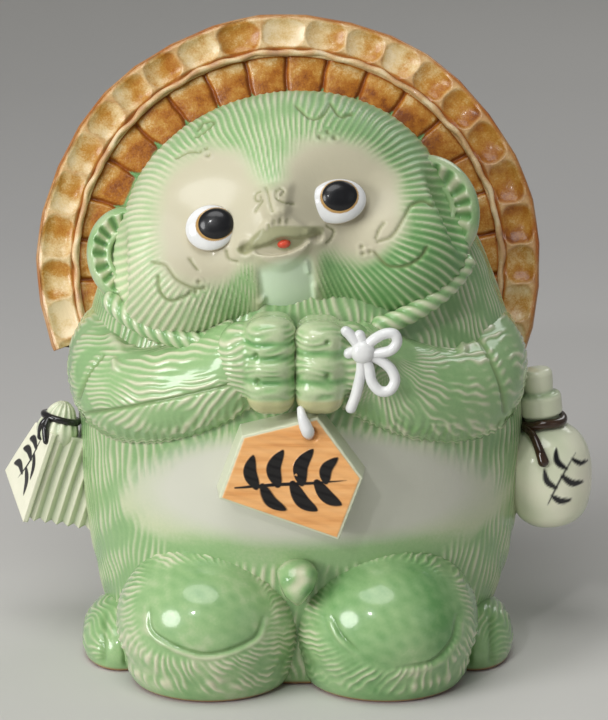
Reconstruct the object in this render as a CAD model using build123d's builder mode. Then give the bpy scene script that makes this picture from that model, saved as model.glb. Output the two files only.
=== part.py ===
from build123d import *
from math import cos, radians, sin, sqrt
import os

os.makedirs("parts", exist_ok=True)

# Sizes in mm. Left and right are the figure's own, so the figure's left is +X.
wall = 6.5
body_half_width = 85.0
body_half_depth = 69.0
body_shift = 4.0
belly_height = 88.0
body_lower_dome = 160.0
body_upper_dome = 125.0
body_top = 168.0
floor_thickness = 6.0
vent_diameter = 36.0

hat_radius = 99.5
hat_brim_width = 15.5
hat_cord_radius = hat_radius - hat_brim_width
hat_cord_thickness = 4.6
hat_centre_x = -3.5
hat_centre_y = 30.0
hat_centre_z = 145.0
hat_lean = 20.0
hat_crown_depth = 47.0
hat_wall = 6.0
hat_opening_radius = 38.0
hat_trim_height = 117.0

head_half_width = 61.5
head_radius = 48.0
head_side = -1.5
head_rise = 10.0
head_forward = 50.0
head_roll = 12.0
face_shift = -3.0

ear_radius = 19.5
ear_half_thickness = 8.5
right_ear_reach = 58.5
left_ear_reach = 53.5
ear_forward = 6.0
right_ear_rise = 0.0
left_ear_rise = -9.5

eye_spacing = 50.5
eye_rise = -2.0
eye_white_radius = 9.4
eye_white_bulge = 4.0
pupil_radius = 6.6
pupil_bulge = 2.6
pupil_rise = 2.0

muzzle_half_width = 17.0
muzzle_radius = 14.0
muzzle_drop = 5.0
nose_radius = 6.5
lip_half_width = 10.5
lip_radius = 6.5
tongue_radius = 3.0
throat_half_height = 15.0
throat_radius = 10.0
chin_cord_thickness = 7.2

arm_height = 116.0
arm_radius = 20.5
wrist_radius = 15.5
paw_width = 19.2
paw_depth = 21.0
paw_height = 39.0
paw_centre_z = 131.5
paw_round = 7.0
bow_cord = 3.4
bow_loop = 5.0
bow_knot = 3.6

plaque_width = 46.0
plaque_side = 25.0
plaque_peak = 41.0
plaque_relief = 11.0
plaque_turn = -20.0
plaque_draft = 14.0
plaque_base_x = -6.3
plaque_base_z = 74.5
plaque_cord_thickness = 4.2

flask_radius = 17.5
flask_half_height = 22.0
flask_neck_radius = 6.8
flask_collar_radius = 8.3
flask_stopper_radius = 5.8
flask_neck_height = 23.0
flask_lean = -7.4
flask_height = 70.8
flask_sink = 4.8
flask_y = -5.0
flask_cord = 3.6

ledger_length = 37.0
ledger_top = 18.0
ledger_bottom = 32.0
ledger_thickness = 32.0
ledger_turn = 25.7
ledger_tilt = 17.1
ledger_z = 88.5
ledger_y = -18.0
ledger_out = 94.0
ledger_knot_radius = 6.5

pouch_radius = 35.5
pouch_half_height = 31.0
pouch_centre_x = 33.0
pouch_centre_y = -45.0
pouch_centre_z = 24.0
pouch_tip_radius = 9.0

foot_length = 52.0
foot_radius = 16.5
foot_spread = 67.5
foot_y = -16.0
foot_z = 6.5

tail_length = 56.0
tail_radius = 18.0
tail_z = 30.0

# Half width of the trunk at a height, as a share of the widest section
def trunk_share(height):
    dome = body_lower_dome if height < belly_height else body_upper_dome
    return sqrt(1.0 - ((height - belly_height) / dome) ** 2)


# Front of the trunk at a place
def trunk_front(side, height):
    share = trunk_share(height)
    across = side / (body_half_width * share)
    return body_shift - body_half_depth * share * sqrt(1.0 - across ** 2)


# Solid of stacked ellipses that follows the trunk, inset by a wall
def trunk_solid(inset):
    steps = [body_top * index / 8.0 for index in range(9)]
    with BuildPart() as blank:
        for step in steps:
            share = trunk_share(step)
            with BuildSketch(Plane.XY.offset(step)):
                with Locations((0, body_shift)):
                    Ellipse(body_half_width * share - inset, body_half_depth * share - inset)
        loft()
    return blank.part


# Solid of revolution round the x axis of a plane: an ellipse of two radii
def lump(place, half_length, radius):
    with BuildPart() as blank:
        with BuildSketch(place):
            with BuildLine():
                arc = EllipticalCenterArc((0, 0), half_length, radius, 0, arc_size=180)
                Line(arc @ 1, arc @ 0)
            make_face()
        revolve(axis=Axis(place.origin, place.x_dir))
    return blank.part


# Flat round pad, wider than it is thick along the x axis of a plane, from stacked circles
def pad(place, half_thickness, radius):
    with BuildPart() as blank:
        for angle in (-84, -66, -44, -22, 0, 22, 44, 66, 84):
            level = place.origin + place.x_dir * (half_thickness * sin(radians(angle)))
            with BuildSketch(Plane(level, x_dir=place.z_dir, z_dir=place.x_dir)):
                Circle(radius * cos(radians(angle)))
        loft()
    return blank.part


# Round disc with a rounded rim, its flat faces along the normal of a plane
def button(place, half_thickness, radius):
    with BuildPart() as blank:
        with BuildSketch(place.offset(-half_thickness)):
            Circle(radius)
        extrude(amount=2 * half_thickness)
        fillet(blank.edges().filter_by(GeomType.CIRCLE), radius=0.8 * half_thickness)
    return blank.part


# Round rod along a path
def rod(path, radius):
    with BuildPart() as blank:
        with BuildSketch(Plane(path @ 0, z_dir=path % 0)):
            Circle(radius)
        sweep(path=path)
    return blank.part


# Tapered limb through points, each with a radius
def limb(path, radii):
    last = len(radii) - 1
    with BuildPart() as blank:
        for index, radius in enumerate(radii):
            share = index / last
            along = path % share
            level = along.cross(Vector(0, 0, 1))
            with BuildSketch(Plane(path @ share, x_dir=level, z_dir=along)):
                Circle(radius)
        loft()
    return blank.part


# Frames of the hat and of the face
hat_up = Vector(0, sin(radians(hat_lean)), cos(radians(hat_lean)))
hat_front = Vector(0, -cos(radians(hat_lean)), sin(radians(hat_lean)))
hat_centre = Vector(hat_centre_x, hat_centre_y, hat_centre_z)
hat_section = Plane(hat_centre, x_dir=(1, 0, 0), z_dir=hat_up * -1)
hat_axis = Axis(hat_centre, hat_front)
head_centre = hat_centre + Vector(head_side, 0, 0) + hat_up * head_rise + hat_front * head_forward
face_across = Vector(1, 0, 0) * cos(radians(head_roll)) + hat_up * sin(radians(head_roll))
face_up = hat_front.cross(face_across)
face = Plane(head_centre, x_dir=face_across, z_dir=hat_front)


# Point of the face frame in the shared frame
def face_point(across, up, forward):
    return head_centre + face_across * across + face_up * up + hat_front * forward


# Cheeks: two round swellings low on the sides of the face, the left one lower as the head is tipped
cheek_radius = 0.6 * head_radius
cheek_forward = 0.27 * head_radius
right_cheek = face_point(-0.65 * head_half_width, -0.29 * head_radius, cheek_forward)
left_cheek = face_point(0.60 * head_half_width, -0.40 * head_radius, cheek_forward)


# Point just proud of a cheek, by its turn in the face plane and its tilt to the front
def cheek_point(cheek, turn, tilt):
    reach = 1.06 * cheek_radius
    level = reach * cos(radians(tilt))
    aside = face_across * (level * cos(radians(turn))) + face_up * (level * sin(radians(turn)))
    return cheek + aside + hat_front * (reach * sin(radians(tilt)))


# Plane that lies on the face, its normal outward
def face_spot(across, up):
    rest = 1.0 - (across / head_half_width) ** 2 - (up / head_radius) ** 2
    forward = head_radius * sqrt(rest)
    outward = face_across * (across / head_half_width ** 2)
    outward = outward + face_up * (up / head_radius ** 2) + hat_front * (forward / head_radius ** 2)
    return Plane(face_point(across, up, forward), x_dir=face_across, z_dir=outward)


# Head: stacked ellipses that round off in front and run straight back to the hat, with cheeks, inset by a wall
def head_solid(inset):
    half_width = head_half_width - inset
    radius = head_radius - inset
    with BuildPart() as blank:
        for share in (1.0, 0.75, 0.5, 0.25):
            with BuildSketch(face.offset(-head_back * share)):
                Ellipse(half_width, radius)
        for angle in (0, 15, 30, 45, 60, 72, 80):
            share = cos(radians(angle))
            with BuildSketch(face.offset(radius * sin(radians(angle)))):
                Ellipse(half_width * share, radius * share)
        loft()
        with Locations(right_cheek, left_cheek):
            Sphere(cheek_radius - inset)
    return blank.part


# Forms that other pieces are fitted against
trunk_form = trunk_solid(0.0)
trunk_cavity = trunk_solid(wall)

head_back = head_forward + hat_wall / 3.0
head_form = head_solid(0.0)
head_cavity = head_solid(wall)

with BuildPart() as ground:
    with BuildSketch(Plane.XY):
        Rectangle(6 * body_half_width, 6 * body_half_width)
    extrude(amount=-body_half_width)

trim_depth = hat_radius
with BuildPart() as hat_trim:
    with BuildSketch(Plane.XY.offset(hat_trim_height)):
        with Locations((body_half_width * 1.2, 0), (-body_half_width * 1.2, 0)):
            Rectangle(body_half_width, 6 * body_half_width)
    extrude(amount=-trim_depth)

# Trunk, open below and where the head sits
with BuildPart() as body_shell:
    add(trunk_form)
    add(trunk_cavity, mode=Mode.SUBTRACT)
    add(head_form, mode=Mode.SUBTRACT)

# Floor in the foot of the trunk, with the vent that hollow ware needs
with BuildPart() as base_floor:
    with BuildSketch(Plane.XY):
        with Locations((0, body_shift)):
            Ellipse(body_half_width, body_half_depth)
            Circle(vent_diameter / 2, mode=Mode.SUBTRACT)
    extrude(amount=floor_thickness)
    add(trunk_cavity, mode=Mode.INTERSECT)

# Hollow head, open at the back against the hat
with BuildPart() as head_shell:
    add(head_form)
    add(head_cavity, mode=Mode.SUBTRACT)

# Hat brim, the ring outside the cord
brim_edge = hat_radius - 2.0
brim_front = 3.0
brim_back = -5.0
crown_cap = 0.36 * hat_radius
crown_shoulder = 0.84 * hat_crown_depth
crown_slope = (crown_shoulder + brim_back) / (brim_edge - crown_cap)
brim_seat = brim_back - 0.5 * crown_slope * (brim_edge - hat_cord_radius)
with BuildPart() as hat_brim:
    with BuildSketch(hat_section):
        with BuildLine():
            rim = ThreePointArc((brim_edge, brim_front), (hat_radius, -1.0), (brim_edge, brim_back))
            Polyline(rim @ 1, (hat_cord_radius, brim_seat), (hat_cord_radius, 0), rim @ 0)
        make_face()
    revolve(axis=hat_axis)
    add(hat_trim.part, mode=Mode.SUBTRACT)
    add(trunk_form, mode=Mode.SUBTRACT)
    add(head_form, mode=Mode.SUBTRACT)

# Hat underside, the flat ring that the head sits on
plate_front = -hat_wall / 3.0
with BuildPart() as hat_underside:
    with BuildSketch(hat_section):
        with BuildLine():
            Polyline(
                (hat_opening_radius, plate_front),
                (hat_cord_radius, plate_front),
                (hat_cord_radius, plate_front - hat_wall),
                (hat_opening_radius, plate_front - hat_wall),
                close=True,
            )
        make_face()
    revolve(axis=hat_axis)
    add(hat_trim.part, mode=Mode.SUBTRACT)
    add(trunk_form, mode=Mode.SUBTRACT)

# Hat crown, the hollow cone behind, with a rounded top
cap_rise = hat_crown_depth - crown_shoulder
cap_radius = (crown_cap ** 2 + cap_rise ** 2) / (2 * cap_rise)
lining_cap = crown_cap - hat_wall / 2
lining_radius = cap_radius - hat_wall
cap_middle = cap_radius - hat_crown_depth
lining_shoulder = sqrt(lining_radius ** 2 - lining_cap ** 2) - cap_middle
with BuildPart() as hat_crown:
    with BuildSketch(hat_section):
        with BuildLine():
            skin = Line((brim_edge, brim_back), (crown_cap, -crown_shoulder))
            top = RadiusArc(skin @ 1, (0, -hat_crown_depth), cap_radius)
            inside = Line((hat_cord_radius, brim_seat), (lining_cap, -lining_shoulder))
            under = RadiusArc(inside @ 1, (0, hat_wall - hat_crown_depth), lining_radius)
            Line(top @ 1, under @ 1)
            Line(inside @ 0, skin @ 0)
        make_face()
    revolve(axis=hat_axis)
    add(hat_trim.part, mode=Mode.SUBTRACT)
    add(trunk_form, mode=Mode.SUBTRACT)

# Ears
right_ear_place = Plane(face_point(-right_ear_reach, right_ear_rise, ear_forward), x_dir=face_across, z_dir=hat_front)
left_ear_place = Plane(face_point(left_ear_reach, left_ear_rise, ear_forward), x_dir=face_across, z_dir=hat_front)
right_ear_blank = button(right_ear_place, ear_half_thickness, ear_radius)
left_ear_blank = button(left_ear_place, ear_half_thickness, ear_radius)
with BuildPart() as right_ear:
    add(right_ear_blank)
    add(head_form, mode=Mode.SUBTRACT)
    add(trunk_form, mode=Mode.SUBTRACT)
with BuildPart() as left_ear:
    add(left_ear_blank)
    add(head_form, mode=Mode.SUBTRACT)
    add(trunk_form, mode=Mode.SUBTRACT)

# Cord in the seam of the hat
with BuildPart() as hat_ring_cord:
    with BuildSketch(hat_section):
        with Locations((hat_cord_radius, plate_front + hat_cord_thickness / 2)):
            Circle(hat_cord_thickness / 2)
    revolve(axis=hat_axis)
    add(hat_trim.part, mode=Mode.SUBTRACT)
    add(hat_brim.part, mode=Mode.SUBTRACT)
    add(hat_underside.part, mode=Mode.SUBTRACT)
    add(trunk_form, mode=Mode.SUBTRACT)
    add(head_form, mode=Mode.SUBTRACT)

# Muzzle, nose, lip, tongue and throat
muzzle_forward = head_radius - 0.55 * muzzle_radius
muzzle_blank = lump(
    Plane(face_point(face_shift, -muzzle_drop, muzzle_forward), x_dir=face_across, z_dir=hat_front),
    muzzle_half_width,
    muzzle_radius,
)
nose_at = face_point(face_shift - 0.7, 3.5, muzzle_forward + 0.62 * muzzle_radius)
lip_at = face_point(face_shift + 1.0, -muzzle_drop - 0.8 * muzzle_radius, muzzle_forward + 0.15 * muzzle_radius)
tongue_at = face_point(face_shift + 1.3, -muzzle_drop - 0.45 * muzzle_radius, muzzle_forward + 0.86 * muzzle_radius)
throat_at = face_point(face_shift, -1.9 * throat_half_height, 0.64 * head_radius)
nose_blank = lump(Plane(nose_at, x_dir=face_across, z_dir=hat_front), nose_radius, nose_radius)
lip_blank = lump(Plane(lip_at, x_dir=face_across, z_dir=hat_front), lip_half_width, lip_radius)
tongue_blank = lump(Plane(tongue_at, x_dir=face_across, z_dir=hat_front), tongue_radius, tongue_radius)
throat_blank = lump(Plane(throat_at, x_dir=face_up, z_dir=hat_front), throat_half_height, throat_radius)
with BuildPart() as muzzle:
    add(muzzle_blank)
    add(head_form, mode=Mode.SUBTRACT)
with BuildPart() as nose:
    add(nose_blank)
    add(muzzle_blank, mode=Mode.SUBTRACT)
    add(head_form, mode=Mode.SUBTRACT)
with BuildPart() as lower_lip:
    add(lip_blank)
    add(muzzle_blank, mode=Mode.SUBTRACT)
    add(head_form, mode=Mode.SUBTRACT)
with BuildPart() as tongue:
    add(tongue_blank)
    add(muzzle_blank, mode=Mode.SUBTRACT)
    add(lip_blank, mode=Mode.SUBTRACT)

# Eyes, round pads with a round pellet on each
eye_ball = (eye_white_radius ** 2 + eye_white_bulge ** 2) / (2 * eye_white_bulge)
pupil_ball = (pupil_radius ** 2 + pupil_bulge ** 2) / (2 * pupil_bulge)
right_eye = face_spot(face_shift - eye_spacing / 2, eye_rise)
left_eye = face_spot(face_shift + eye_spacing / 2, eye_rise)
eye_depth = eye_white_bulge - eye_ball
pupil_depth = eye_white_bulge + 0.5 * pupil_bulge - pupil_ball
with BuildPart() as right_eye_white:
    with Locations(right_eye * Location((0, 0, eye_depth))):
        Sphere(eye_ball)
    add(head_form, mode=Mode.SUBTRACT)
    add(muzzle_blank, mode=Mode.SUBTRACT)
with BuildPart() as left_eye_white:
    with Locations(left_eye * Location((0, 0, eye_depth))):
        Sphere(eye_ball)
    add(head_form, mode=Mode.SUBTRACT)
    add(muzzle_blank, mode=Mode.SUBTRACT)
with BuildPart() as right_pupil:
    with Locations(right_eye * Location((0, pupil_rise, pupil_depth))):
        Sphere(pupil_ball)
    with Locations(right_eye * Location((0, 0, eye_depth))):
        Sphere(eye_ball, mode=Mode.SUBTRACT)
    add(head_form, mode=Mode.SUBTRACT)
with BuildPart() as left_pupil:
    with Locations(left_eye * Location((0, pupil_rise, pupil_depth))):
        Sphere(pupil_ball)
    with Locations(left_eye * Location((0, 0, eye_depth))):
        Sphere(eye_ball, mode=Mode.SUBTRACT)
    add(head_form, mode=Mode.SUBTRACT)

# Paws, side by side on the chest
paw_front = trunk_front(0, paw_centre_z) - 0.9 * paw_depth
paw_low = paw_centre_z - paw_height / 2
with BuildPart() as right_paw:
    with BuildSketch(Plane.XY.offset(paw_low)):
        with Locations((-paw_width / 2, paw_front + paw_depth)):
            Rectangle(paw_width, 2 * paw_depth)
    extrude(amount=paw_height)
    outer = right_paw.faces().sort_by(Axis.Y)[0].edges()
    fillet(outer, radius=paw_round)
    add(trunk_form, mode=Mode.SUBTRACT)
    add(head_form, mode=Mode.SUBTRACT)
with BuildPart() as left_paw:
    add(right_paw.part.mirror(Plane.YZ))

with BuildPart() as throat:
    add(throat_blank)
    add(muzzle_blank, mode=Mode.SUBTRACT)
    add(lip_blank, mode=Mode.SUBTRACT)
    add(head_form, mode=Mode.SUBTRACT)
    add(trunk_form, mode=Mode.SUBTRACT)
    add(right_paw.part, mode=Mode.SUBTRACT)
    add(left_paw.part, mode=Mode.SUBTRACT)

# Cord under the cheeks, one length to each ear
with BuildLine() as right_cord_path:
    Spline(
        cheek_point(right_cheek, 184, 2),
        cheek_point(right_cheek, 205, 12),
        cheek_point(right_cheek, 232, 22),
        cheek_point(right_cheek, 262, 30),
    )
with BuildLine() as left_cord_path:
    Spline(
        cheek_point(left_cheek, 338, 2),
        cheek_point(left_cheek, 315, 14),
        cheek_point(left_cheek, 288, 24),
        cheek_point(left_cheek, 264, 30),
    )
right_cord_blank = rod(right_cord_path.line.edge(), chin_cord_thickness / 2)
left_cord_blank = rod(left_cord_path.line.edge(), chin_cord_thickness / 2)
with BuildPart() as right_chin_cord:
    add(right_cord_blank)
    add(head_form, mode=Mode.SUBTRACT)
    add(trunk_form, mode=Mode.SUBTRACT)
    add(right_ear_blank, mode=Mode.SUBTRACT)
with BuildPart() as left_chin_cord:
    add(left_cord_blank)
    add(head_form, mode=Mode.SUBTRACT)
    add(trunk_form, mode=Mode.SUBTRACT)
    add(left_ear_blank, mode=Mode.SUBTRACT)

# Arms, from inside the shoulders round to the paws
shoulder_x = 0.70 * body_half_width
elbow_x = 0.70 * body_half_width
wrist_x = 0.85 * paw_width
wrist_y = trunk_front(wrist_x, paw_centre_z) + 0.2 * wrist_radius
elbow_y = trunk_front(elbow_x, arm_height) + 0.3 * arm_radius
with BuildLine() as arm_path:
    Spline(
        (-shoulder_x, body_shift + 0.2 * body_half_depth, arm_height + 7),
        (-0.79 * body_half_width, body_shift - 0.25 * body_half_depth, arm_height - 1),
        (-elbow_x, elbow_y, arm_height - 6),
        (-wrist_x, wrist_y, paw_centre_z - 2),
    )
arm_radii = [0.9 * arm_radius, arm_radius, 0.94 * arm_radius, 0.86 * arm_radius, wrist_radius]
arm_blank = limb(arm_path.line.edge(), arm_radii)
with BuildPart() as right_arm:
    add(arm_blank)
    add(trunk_form, mode=Mode.SUBTRACT)
    add(head_form, mode=Mode.SUBTRACT)
    add(right_paw.part, mode=Mode.SUBTRACT)
    add(right_cord_blank, mode=Mode.SUBTRACT)
    add(right_ear_blank, mode=Mode.SUBTRACT)
    add(hat_brim.part, mode=Mode.SUBTRACT)
    add(hat_underside.part, mode=Mode.SUBTRACT)
    add(hat_crown.part, mode=Mode.SUBTRACT)
    add(hat_ring_cord.part, mode=Mode.SUBTRACT)
with BuildPart() as left_arm:
    add(arm_blank.mirror(Plane.YZ))
    add(trunk_form, mode=Mode.SUBTRACT)
    add(head_form, mode=Mode.SUBTRACT)
    add(left_paw.part, mode=Mode.SUBTRACT)
    add(left_cord_blank, mode=Mode.SUBTRACT)
    add(left_ear_blank, mode=Mode.SUBTRACT)
    add(hat_brim.part, mode=Mode.SUBTRACT)
    add(hat_underside.part, mode=Mode.SUBTRACT)
    add(hat_crown.part, mode=Mode.SUBTRACT)
    add(hat_ring_cord.part, mode=Mode.SUBTRACT)

# Pouches, standing on the ground side by side
right_pouch_at = Vector(-pouch_centre_x, pouch_centre_y, pouch_centre_z)
left_pouch_at = Vector(pouch_centre_x, pouch_centre_y, pouch_centre_z)
right_pouch_blank = pad(Plane(right_pouch_at, x_dir=(0, 0, 1), z_dir=(1, 0, 0)), pouch_half_height, pouch_radius)
left_pouch_blank = pad(Plane(left_pouch_at, x_dir=(0, 0, 1), z_dir=(1, 0, 0)), pouch_half_height, pouch_radius)
with BuildPart() as right_pouch:
    add(right_pouch_blank)
    add(ground.part, mode=Mode.SUBTRACT)
    add(trunk_form, mode=Mode.SUBTRACT)
    split(bisect_by=Plane.YZ, keep=Keep.BOTTOM)
with BuildPart() as left_pouch:
    add(left_pouch_blank)
    add(ground.part, mode=Mode.SUBTRACT)
    add(trunk_form, mode=Mode.SUBTRACT)
    split(bisect_by=Plane.YZ, keep=Keep.TOP)

# Pellet between the pouches
tip_z = pouch_centre_z + 0.7 * pouch_half_height
tip_at = Vector(0, trunk_front(0, tip_z) - 0.35 * pouch_tip_radius, tip_z)
with BuildPart() as pouch_tip_blank:
    with Locations(tip_at):
        Sphere(pouch_tip_radius)
with BuildPart() as pouch_tip:
    add(pouch_tip_blank.part)
    add(trunk_form, mode=Mode.SUBTRACT)
    add(right_pouch_blank, mode=Mode.SUBTRACT)
    add(left_pouch_blank, mode=Mode.SUBTRACT)

# Feet
right_foot_at = Vector(-foot_spread, foot_y, foot_z)
left_foot_at = Vector(foot_spread, foot_y, foot_z)
right_foot_blank = lump(Plane(right_foot_at, x_dir=(0, 1, 0), z_dir=(0, 0, 1)), foot_length / 2, foot_radius)
left_foot_blank = lump(Plane(left_foot_at, x_dir=(0, 1, 0), z_dir=(0, 0, 1)), foot_length / 2, foot_radius)
with BuildPart() as right_foot:
    add(right_foot_blank)
    add(ground.part, mode=Mode.SUBTRACT)
    add(trunk_form, mode=Mode.SUBTRACT)
    add(right_pouch_blank, mode=Mode.SUBTRACT)
with BuildPart() as left_foot:
    add(left_foot_blank)
    add(ground.part, mode=Mode.SUBTRACT)
    add(trunk_form, mode=Mode.SUBTRACT)
    add(left_pouch_blank, mode=Mode.SUBTRACT)

# Plaque on the belly, with drafted sides and a hole for its cord
plaque_y = trunk_front(0, plaque_base_z + plaque_peak / 2) - plaque_relief
plaque_along = Vector(cos(radians(plaque_turn)), 0, sin(radians(plaque_turn)))
plaque_place = Plane((plaque_base_x, plaque_y, plaque_base_z), x_dir=plaque_along, z_dir=(0, -1, 0))
hole_at = plaque_place.from_local_coords((0, plaque_peak - 1.5 * plaque_cord_thickness, 0))
cord_top = Vector(0, paw_front + 0.3 * paw_depth, paw_low + 0.15 * paw_height)
with BuildLine() as plaque_cord_path:
    Spline(
        cord_top,
        (hole_at.X * 0.5, hole_at.Y - 0.7 * plaque_cord_thickness, paw_low - 0.3 * plaque_cord_thickness),
        hole_at,
        (hole_at.X, hole_at.Y + 0.5 * plaque_relief, hole_at.Z - plaque_cord_thickness),
    )
plaque_cord_blank = rod(plaque_cord_path.line.edge(), plaque_cord_thickness / 2)
with BuildPart() as plaque:
    with BuildSketch(plaque_place):
        with BuildLine():
            Polyline(
                (-plaque_width / 2, 0),
                (plaque_width / 2, 0),
                (plaque_width / 2, plaque_side),
                (0, plaque_peak),
                (-plaque_width / 2, plaque_side),
                close=True,
            )
        make_face()
    extrude(amount=-3 * plaque_relief, taper=-plaque_draft)
    add(trunk_form, mode=Mode.SUBTRACT)
    add(right_paw.part, mode=Mode.SUBTRACT)
    add(left_paw.part, mode=Mode.SUBTRACT)
    add(right_pouch_blank, mode=Mode.SUBTRACT)
    add(left_pouch_blank, mode=Mode.SUBTRACT)
    add(pouch_tip_blank.part, mode=Mode.SUBTRACT)
    add(right_arm.part, mode=Mode.SUBTRACT)
    add(left_arm.part, mode=Mode.SUBTRACT)
    add(plaque_cord_blank, mode=Mode.SUBTRACT)
with BuildPart() as plaque_cord:
    add(plaque_cord_blank)
    add(trunk_form, mode=Mode.SUBTRACT)
    add(right_paw.part, mode=Mode.SUBTRACT)
    add(left_paw.part, mode=Mode.SUBTRACT)
    add(right_arm.part, mode=Mode.SUBTRACT)
    add(left_arm.part, mode=Mode.SUBTRACT)

# Bow on the left wrist
bow_x = paw_width + 1.3 * bow_loop
bow_z = paw_centre_z + 0.13 * paw_height
bow_y = wrist_y - 0.95 * wrist_radius - 0.5 * bow_cord
bow_centre = Vector(bow_x, bow_y, bow_z)
bow_blanks = []
for angle, reach, thick in ((25, 2.0, 0.9), (-50, 1.9, 0.9), (140, 1.9, 0.6), (245, 2.2, 0.6)):
    along = Vector(cos(radians(angle)), 0, sin(radians(angle)))
    middle = bow_centre + along * (0.9 * reach * bow_loop / 2)
    bow_blanks.append(lump(Plane(middle, x_dir=along, z_dir=(0, -1, 0)), reach * bow_loop / 2, thick * bow_cord))
with BuildPart() as wrist_bow:
    with Locations(bow_centre):
        Sphere(bow_knot)
    add(bow_blanks)
    add(trunk_form, mode=Mode.SUBTRACT)
    add(left_paw.part, mode=Mode.SUBTRACT)
    add(left_arm.part, mode=Mode.SUBTRACT)
    add(head_form, mode=Mode.SUBTRACT)
    add(left_cord_blank, mode=Mode.SUBTRACT)

# Flask on the left hip
flask_x = body_half_width * trunk_share(flask_height) + flask_radius - flask_sink
flask_up = Vector(sin(radians(flask_lean)), 0, cos(radians(flask_lean)))
flask_at = Vector(flask_x, flask_y, flask_height)
flask_section = Plane(flask_at, x_dir=flask_up.cross(Vector(0, 1, 0)) * -1, z_dir=(0, -1, 0))
flask_axis = Axis(flask_at, flask_up)
flask_shoulder = 0.8 * flask_half_height
collar_low = flask_shoulder + 0.18 * flask_neck_height
collar_high = flask_shoulder + 0.56 * flask_neck_height
stopper_high = flask_shoulder + flask_neck_height
with BuildPart() as flask_body:
    with BuildSketch(flask_section):
        with BuildLine():
            bulb_side = (0.87 * flask_radius, -0.55 * flask_half_height)
            bulb = ThreePointArc((0.5 * flask_radius, -flask_half_height), bulb_side, (flask_radius, 0))
            top_side = (0.83 * flask_radius, 0.5 * flask_half_height)
            top = ThreePointArc(bulb @ 1, top_side, (flask_neck_radius + 1.5, flask_shoulder))
            Polyline(top @ 1, (0, flask_shoulder), (0, -flask_half_height), bulb @ 0)
        make_face()
    revolve(axis=flask_axis)
    add(trunk_form, mode=Mode.SUBTRACT)
    add(left_arm.part, mode=Mode.SUBTRACT)
with BuildPart() as flask_neck:
    with BuildSketch(flask_section):
        with BuildLine():
            Polyline(
                (0, flask_shoulder),
                (flask_neck_radius, flask_shoulder),
                (flask_neck_radius, collar_low),
                (flask_collar_radius, collar_low),
                (flask_collar_radius, collar_high),
                (flask_stopper_radius, collar_high),
                (flask_stopper_radius, stopper_high),
                (0, stopper_high),
                close=True,
            )
        make_face()
    revolve(axis=flask_axis)
    add(trunk_form, mode=Mode.SUBTRACT)
    add(left_arm.part, mode=Mode.SUBTRACT)
with BuildPart() as flask_tie:
    with BuildSketch(flask_section):
        with Locations((flask_neck_radius + 0.3 * flask_cord, (flask_shoulder + collar_low) / 2)):
            Circle(flask_cord / 2)
    revolve(axis=flask_axis)
    add(flask_body.part, mode=Mode.SUBTRACT)
    add(flask_neck.part, mode=Mode.SUBTRACT)
    add(trunk_form, mode=Mode.SUBTRACT)
    add(left_arm.part, mode=Mode.SUBTRACT)

# Ledger on the right hip, a folded book tied at the top
ledger_normal = Vector(
    -cos(radians(ledger_turn)) * cos(radians(ledger_tilt)),
    -sin(radians(ledger_turn)) * cos(radians(ledger_tilt)),
    sin(radians(ledger_tilt)),
)
ledger_across = Vector(sin(radians(ledger_turn)), -cos(radians(ledger_turn)), 0)
ledger_place = Plane((-ledger_out, ledger_y, ledger_z), x_dir=ledger_across, z_dir=ledger_normal)
with BuildPart() as ledger:
    with BuildSketch(ledger_place):
        with BuildLine():
            Polyline(
                (0, 0),
                (-0.14 * ledger_length, -ledger_length),
                (-0.14 * ledger_length - 0.92 * ledger_bottom, 0.39 * ledger_bottom - ledger_length),
                (-ledger_top, 0),
                close=True,
            )
        make_face()
    extrude(amount=-ledger_thickness)
    add(trunk_form, mode=Mode.SUBTRACT)
    add(right_arm.part, mode=Mode.SUBTRACT)
    add(right_foot_blank, mode=Mode.SUBTRACT)
knot_at = ledger_place.from_local_coords((-0.5 * ledger_top, 0.5 * ledger_knot_radius, -0.9 * ledger_knot_radius))
knot_place = Plane(knot_at, x_dir=ledger_place.y_dir, z_dir=ledger_normal)
knot_blank = lump(knot_place, 1.35 * ledger_knot_radius, ledger_knot_radius)
with BuildPart() as ledger_tie:
    add(knot_blank)
    add(ledger.part, mode=Mode.SUBTRACT)
    add(trunk_form, mode=Mode.SUBTRACT)
    add(right_arm.part, mode=Mode.SUBTRACT)

# Tail, low on the back
tail_y = body_shift + body_half_depth * trunk_share(tail_z) - 0.35 * tail_radius
tail_place = Plane((0, tail_y, tail_z), x_dir=(0.5, 0, 1), z_dir=(0, 1, 0))
tail_blank = lump(tail_place, tail_length / 2, tail_radius)
with BuildPart() as tail:
    add(tail_blank)
    add(ground.part, mode=Mode.SUBTRACT)
    add(trunk_form, mode=Mode.SUBTRACT)

body_shell.part.label = "body_shell"
base_floor.part.label = "base_floor"
head_shell.part.label = "head_shell"
hat_brim.part.label = "hat_brim"
hat_underside.part.label = "hat_underside"
hat_crown.part.label = "hat_crown"
hat_ring_cord.part.label = "hat_ring_cord"
right_chin_cord.part.label = "right_chin_cord"
left_chin_cord.part.label = "left_chin_cord"
right_ear.part.label = "right_ear"
left_ear.part.label = "left_ear"
muzzle.part.label = "muzzle"
nose.part.label = "nose"
lower_lip.part.label = "lower_lip"
tongue.part.label = "tongue"
throat.part.label = "throat"
right_eye_white.part.label = "right_eye_white"
left_eye_white.part.label = "left_eye_white"
right_pupil.part.label = "right_pupil"
left_pupil.part.label = "left_pupil"
right_arm.part.label = "right_arm"
left_arm.part.label = "left_arm"
right_paw.part.label = "right_paw"
left_paw.part.label = "left_paw"
wrist_bow.part.label = "wrist_bow"
plaque.part.label = "plaque"
plaque_cord.part.label = "plaque_cord"
flask_body.part.label = "flask_body"
flask_neck.part.label = "flask_neck"
flask_tie.part.label = "flask_tie"
ledger.part.label = "ledger"
ledger_tie.part.label = "ledger_tie"
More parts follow.
